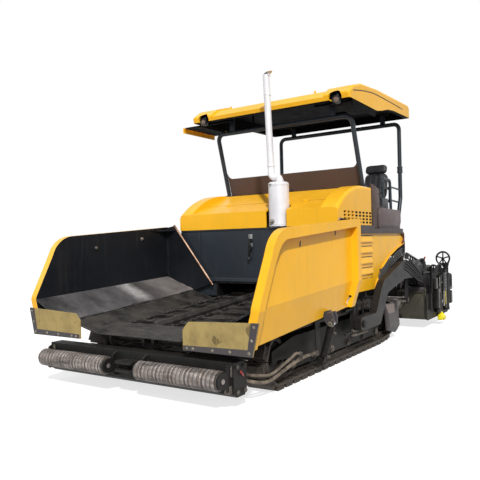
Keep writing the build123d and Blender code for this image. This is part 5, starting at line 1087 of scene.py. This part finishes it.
# ---- tow arms
for _, side in SIDES:
    Shape("arm_end_shaft", BRIGHT, side, "screed_frame").rod((1412, 4800, 908), (1412, 5290, 886), 11)
    lugs = Shape("arm_end_lugs", ARM, side, "screed_frame")
    for s in (4792, 5262):
        lugs.box((1396, 1425), (s, s + 26), (862, 934), 5)
    bank = Shape("arm_valve_bank", BLACKSATIN, side, "screed_frame")
    bank.box((1290, 1404), (4480, 4700), (1010, 1080), 8)
    bank.turned((1330, 4720, 1020), (0, 1, -0.04),
                ((0, 34), (6, 44), (190, 44), (196, 36), (300, 36), (306, 22)), 22)
    bank.turned((1390, 4880, 980), (0, 0.02, 1),
                ((0, 24), (4, 30), (96, 30), (100, 22), (140, 22), (144, 12)), 18)
    bank.turned((1330, 5080, 960), (0, 0.05, 1),
                ((0, 30), (4, 38), (110, 38), (116, 24), (160, 24), (164, 14)), 18)
    bank.box((1300, 1404), (4960, 5210), (960, 1012), 8)
    bank.box((1356, 1404), (4330, 4440), (1060, 1130), 8)
    unions = Shape("arm_valve_unions", BRIGHT, side, "screed_frame")
    for k in range(4):
        unions.turned((1308 + 26 * k, 4520 + 40 * k, 1078), UP, ((0, 9), (16, 9), (17, 13), (34, 13)), 6)
        unions.turned((1404, 4520 + 44 * k, 1044), OUT, ((0, 9), (12, 9)), 6)
        unions.turned((1404, 4980 + 58 * k, 986), OUT, ((0, 10), (12, 10)), 6)
    knobs = Shape("arm_valve_knobs", REDLENS, side, "screed_frame")
    for s, z in ((4604, 1110), (4684, 1110), (5080, 1124), (5000, 1012)):
        knobs.turned((1356, s, z), UP, ((-40, 6), (0, 6), (2, 15), (16, 15), (22, 8)), 14)
    bundle = Shape("arm_pipe_bundle", HOSE, side, "screed_frame")
    for k in range(5):
        x, drop = 1409 - 4 * (k % 2), 40 * k
        bundle.pipe(((1392, 4020 - 26 * k, 1176 - drop), (x, 4060 - 22 * k, 1178 - drop),
                     (x, 4330 - 10 * k, 1070 - drop), (x, 4560, 960 - drop),
                     (x, 4700 + 10 * k, 900 - 0.8 * drop), (1392, 4760 + 8 * k, 890 - 0.8 * drop)),
                    11, 80, 10)
    for k in range(4):
        bundle.pipe(((1310 + 24 * k, 4250 - 30 * k, 1150), (1310 + 24 * k, 4300 - 30 * k, 1240 - 12 * k),
                     (1312 + 22 * k, 4480, 1200 - 14 * k), (1308 + 26 * k, 4520 + 40 * k, 1104)), 11, 60, 10)
        bundle.pipe(((1310 + 22 * k, 4690, 1040), (1310 + 22 * k, 4790, 1100 + 10 * k),
                     (1314 + 20 * k, 4960, 1090 + 6 * k), (1316 + 20 * k, 5060, 1005)), 11, 60, 10)

# ---- end gates: columns, handwheels, control boxes and grade sensors
for name, side in SIDES:
    ext = f"extension_{name}"
    column = Shape("end_gate_columns", BLACKSATIN, side, ext)
    column.turned((1492, 5840, 200), (0, 0.02, 1),
                  ((0, 40), (4, 46), (60, 46), (62, 42), (560, 42), (562, 50), (640, 50), (644, 34),
                   (760, 34), (764, 42), (800, 42), (806, 30)), 24)
    column.turned((1496, 5300, 220), UP,
                  ((0, 36), (4, 44), (70, 44), (72, 36), (80, 36), (82, 44), (260, 44), (262, 30), (380, 30),
                   (384, 38), (420, 38), (424, 20)), 24)
    column.box((1446, 1520), (5800, 5890), (520, 640), 8)
    column.box((1446, 1520), (5260, 5350), (420, 520), 8)
    wheel = Shape("end_gate_wheels", BLACKSATIN, side, ext)
    x = 1422
    for s, z, radius in ((5900, 1085, 118), (5330, 930, 70)):
        wheel.hoop((x, s, z), BACKWARD, radius - 4, 16, 36, 10)
        for k in range(5):
            a = math.tau * k / 5 + 0.3
            wheel.rod((x, s, z), (x + radius * math.cos(a), s, z + radius * math.sin(a)), 12, 8)
        wheel.turned((x, s - 24, z), BACKWARD, ((0, 18), (4, 24), (44, 24), (48, 16)), 18)
        wheel.turned((x, s - 20, z + radius), FORWARD, ((0, 9), (8, 13), (40, 15), (46, 8)), 14)
        wheel.rod((x, s + 4, z - radius - 30), (x, s + 4, z), 14, 12)
    boxes = Shape("end_gate_boxes", BLACKSATIN, side, ext)
    boxes.box((1448, 1536), (5520, 5700), (560, 860), 14)
    boxes.box((1448, 1530), (5080, 5200), (620, 800), 12)
    boxes.box((1448, 1534), (5960, 6070), (300, 520), 12)

# ---- end gates: back plates, rods and pipes
for name, side in SIDES:
    ext = f"extension_{name}"
    plate = Shape("end_gate_back_plate", BLACKSATIN, side, ext)
    plate.prism("x", ((5290, 560), (5310, 850), (5460, 930), (5870, 930), (5990, 760), (6060, 560)),
                1447, 1456, 3)
    plate.box((1456, 1530), (5990, 6090), (590, 800), 12)
    plate.turned((1500, 5400, 230), UP,
                 ((0, 26), (4, 34), (330, 34), (336, 24), (520, 24), (524, 36), (600, 36), (606, 20)), 20)
    rods = Shape("end_gate_height_rod", BRIGHT, side, ext)
    rods.rod((1520, 5560, 300), (1520, 5560, 560), 15)
    rods.rod((1512, 5350, 540), (1512, 5350, 800), 11)
    Shape("end_gate_height_scale", SAFETY, side, ext).box((1536, 1540), (5600, 5622), (330, 545), 1.5)
    buttons = Shape("control_box_buttons", GREYPLASTIC, side, ext)
    for k in range(5):
        for m in range(2):
            buttons.turned((1536, 5565 + 80 * m, 610 + 50 * k), OUT, ((0, 13), (6, 12), (8, 8)), 14)
    sensor = Shape("grade_sensor", SAFETY, side, ext)
    sensor.box((1450, 1534), (5400, 5540), (76, 176), 12)
    sensor.box((1456, 1528), (5530, 5650), (62, 128), 10)
    sensor.turned((1493, 5470, 176), UP, ((0, 34), (26, 34), (34, 22)), 20)
    sensor.turned((1534, 5470, 126), OUT, ((-2, 30), (6, 30), (10, 22)), 20)
    stalk = Shape("grade_sensor_arm", CHROME, side, ext)
    stalk.pipe(((1493, 5470, 200), (1493, 5480, 290), (1505, 5700, 560)), 7, 40, 10)
    extra = Shape("end_gate_fittings", BLACKSATIN, side, ext)
    extra.turned((1486, 5380, 700), (0, 1, 0.02),
                 ((0, 26), (4, 34), (240, 34), (242, 28), (330, 28), (334, 16)), 20)
    extra.turned((1500, 5640, 300), UP, ((0, 30), (4, 38), (180, 38), (184, 26), (300, 26), (304, 16)), 20)
    extra.box((1448, 1512), (5720, 5790), (240, 900), 8)
    extra.box((1448, 1540), (5180, 5250), (300, 620), 8)
    extra.prism("x", ((5400, 180), (5440, 180), (5720, 500), (5720, 560), (5680, 560)), 1450, 1478, 4)
    extra.box((1450, 1530), (5900, 6090), (540, 600), 8)
    extra.turned((1500, 6010, 600), UP, ((0, 34), (8, 42), (120, 42), (128, 30), (220, 30), (224, 12)), 20)
    looms = Shape("end_gate_pipes", HOSE, side, ext)
    for k in range(4):
        looms.pipe(((1458 + 14 * k, 5530 + 10 * k, 870), (1456 + 14 * k, 5500, 960 + 12 * k),
                    (1452 + 14 * k, 5380, 985 + 12 * k), (1452 + 14 * k, 5240, 900 + 8 * k),
                    (1456 + 14 * k, 5150, 790)), 9, 60, 10)
        looms.pipe(((1462 + 14 * k, 5690, 740 - 30 * k), (1466 + 14 * k, 5790, 760 - 24 * k),
                    (1468 + 14 * k, 5960, 640 - 24 * k), (1468 + 14 * k, 6000, 510)), 9, 60, 10)

# ---- walkway and cylinder ports
walkway = Shape("walkway_tread", TREAD, body="screed_frame")
for i in range(24):
    walkway.box((-1150 + 100 * i - 40, -1150 + 100 * i + 40), (5200, 6180), (749, 753), 1)
# kind, body, the barrel's two ends, where its far port is, and a direction square to it
CYLINDERS = (
    ("lift", "lift_barrel", (880, 4410, 1330), (880, 5040, 680), 0.707, lambda x, s, z: (0, -z, s)),
    ("fold", "wing_barrel", (1300, 1533.4, 149.5), (1445, 1500.4, 573.3), 0.91, lambda x, s, z: (z, 0, -x)),
)
for name, side in SIDES:
    for kind, body, base, tip, share, square in CYLINDERS:
        ports = Shape(f"{kind}_cylinder_ports", IRON, side, f"{body}_{name}")
        way = [q - p for p, q in zip(base, tip)]
        out = [v / math.hypot(*way) for v in square(*way)]
        for at in (0.16, share * 0.86):
            start = [p + d * at + v * 38 for p, d, v in zip(base, way, out)]
            ports.turned(start, out, ((0, 12), (16, 12), (17, 16), (34, 16), (36, 10)), 6)

for shape in Shape.drawn:
    shape.done()

# ---- camera, floor and light
CAMERA_AT = Vector((4.109, -6.814, 1.472))
YAW, PITCH, ROLL = (math.radians(v) for v in (31.85, -0.652, -1.432))
LENS_LENGTH = 41.56
SHIFT = (-0.0823, 0.01375)
look = Vector((-math.sin(YAW) * math.cos(PITCH), math.cos(YAW) * math.cos(PITCH), math.sin(PITCH)))
right = Vector((math.cos(YAW), math.sin(YAW), 0))
upward = right.cross(look)
turned_right = right * math.cos(ROLL) + upward * math.sin(ROLL)
turned_up = upward * math.cos(ROLL) - right * math.sin(ROLL)
camera_data = bpy.data.cameras.new("camera")
camera_data.lens = LENS_LENGTH
camera_data.shift_x, camera_data.shift_y = SHIFT
camera = linked("camera", camera_data)
turn = Matrix((turned_right, turned_up, -look)).transposed().to_4x4()
camera.matrix_world = Matrix.Translation(CAMERA_AT) @ turn
scene = bpy.context.scene
scene.camera = camera
scene.view_settings.view_transform = "Standard"

SUN_STRENGTH, SUN_ANGLE = 3.25, math.radians(2.5)
SUN_FROM = (0.56, -0.66, 0.72)
SKY_STRENGTH = 0.36
GLOW = 0.72  # with the lit part of the floor, this comes to white
FLOOR_HALF, FLOOR_HEIGHT = 30, -0.001

# the sky is white to the camera and in reflections, and softer as a light
scene.world = bpy.data.worlds.new("world")
n = Nodes(scene.world, "OutputWorld")
white = n.node("Background", {0: (1, 1, 1, 1), 1: 1.0}).outputs[0]
soft = n.node("Background", {0: (0.93, 0.96, 1, 1), 1: SKY_STRENGTH}).outputs[0]
n.put(n.out.inputs[0], n.node("MixShader", {0: n.in_view(), 1: soft, 2: white}).outputs[0])


def floor_shader(n):
    """White to the camera and in reflections, with the object's soft shadow; a pale ground to the light."""
    shadowed = n.node("BsdfDiffuse", {"Color": (0.42, 0.42, 0.42, 1)}).outputs[0]
    glow = n.node("Emission", {"Color": (1, 1, 1, 1), "Strength": GLOW}).outputs[0]
    both = n.node("AddShader", {0: shadowed, 1: glow}).outputs[0]
    ground = n.node("BsdfDiffuse", {"Color": (0.22, 0.22, 0.22, 1)}).outputs[0]
    return n.node("MixShader", {0: n.in_view(), 1: ground, 2: both}).outputs[0]


floor_mesh = bpy.data.meshes.new("floor")
corners = [(x * FLOOR_HALF, y * FLOOR_HALF, FLOOR_HEIGHT) for x, y in ((-1, -1), (1, -1), (1, 1), (-1, 1))]
floor_mesh.from_pydata(corners, [], [(0, 1, 2, 3)])
floor_mesh.materials.append(made("floor", floor_shader))
floor = linked("floor", floor_mesh)

sun_data = bpy.data.lights.new("sun", "SUN")
sun_data.energy, sun_data.angle = SUN_STRENGTH, SUN_ANGLE
sun = linked("sun", sun_data)
sun.rotation_euler = Vector(SUN_FROM).to_track_quat("Z", "Y").to_euler()
# broad fill lamps, turned to a point a metre above the middle: place, watts
LAMPS = (((6.5, -9, 4), 200), ((-8, -5, 5), 90), ((-3, 10, 6), 190))
for index, (place, watts) in enumerate(LAMPS):
    data = bpy.data.lights.new(f"lamp_{index}", "AREA")
    data.size, data.energy = 5, watts
    lamp = linked(f"lamp_{index}", data)
    lamp.location = place
    lamp.rotation_euler = (Vector((0, 0, 1)) - lamp.location).to_track_quat("-Z", "Y").to_euler()
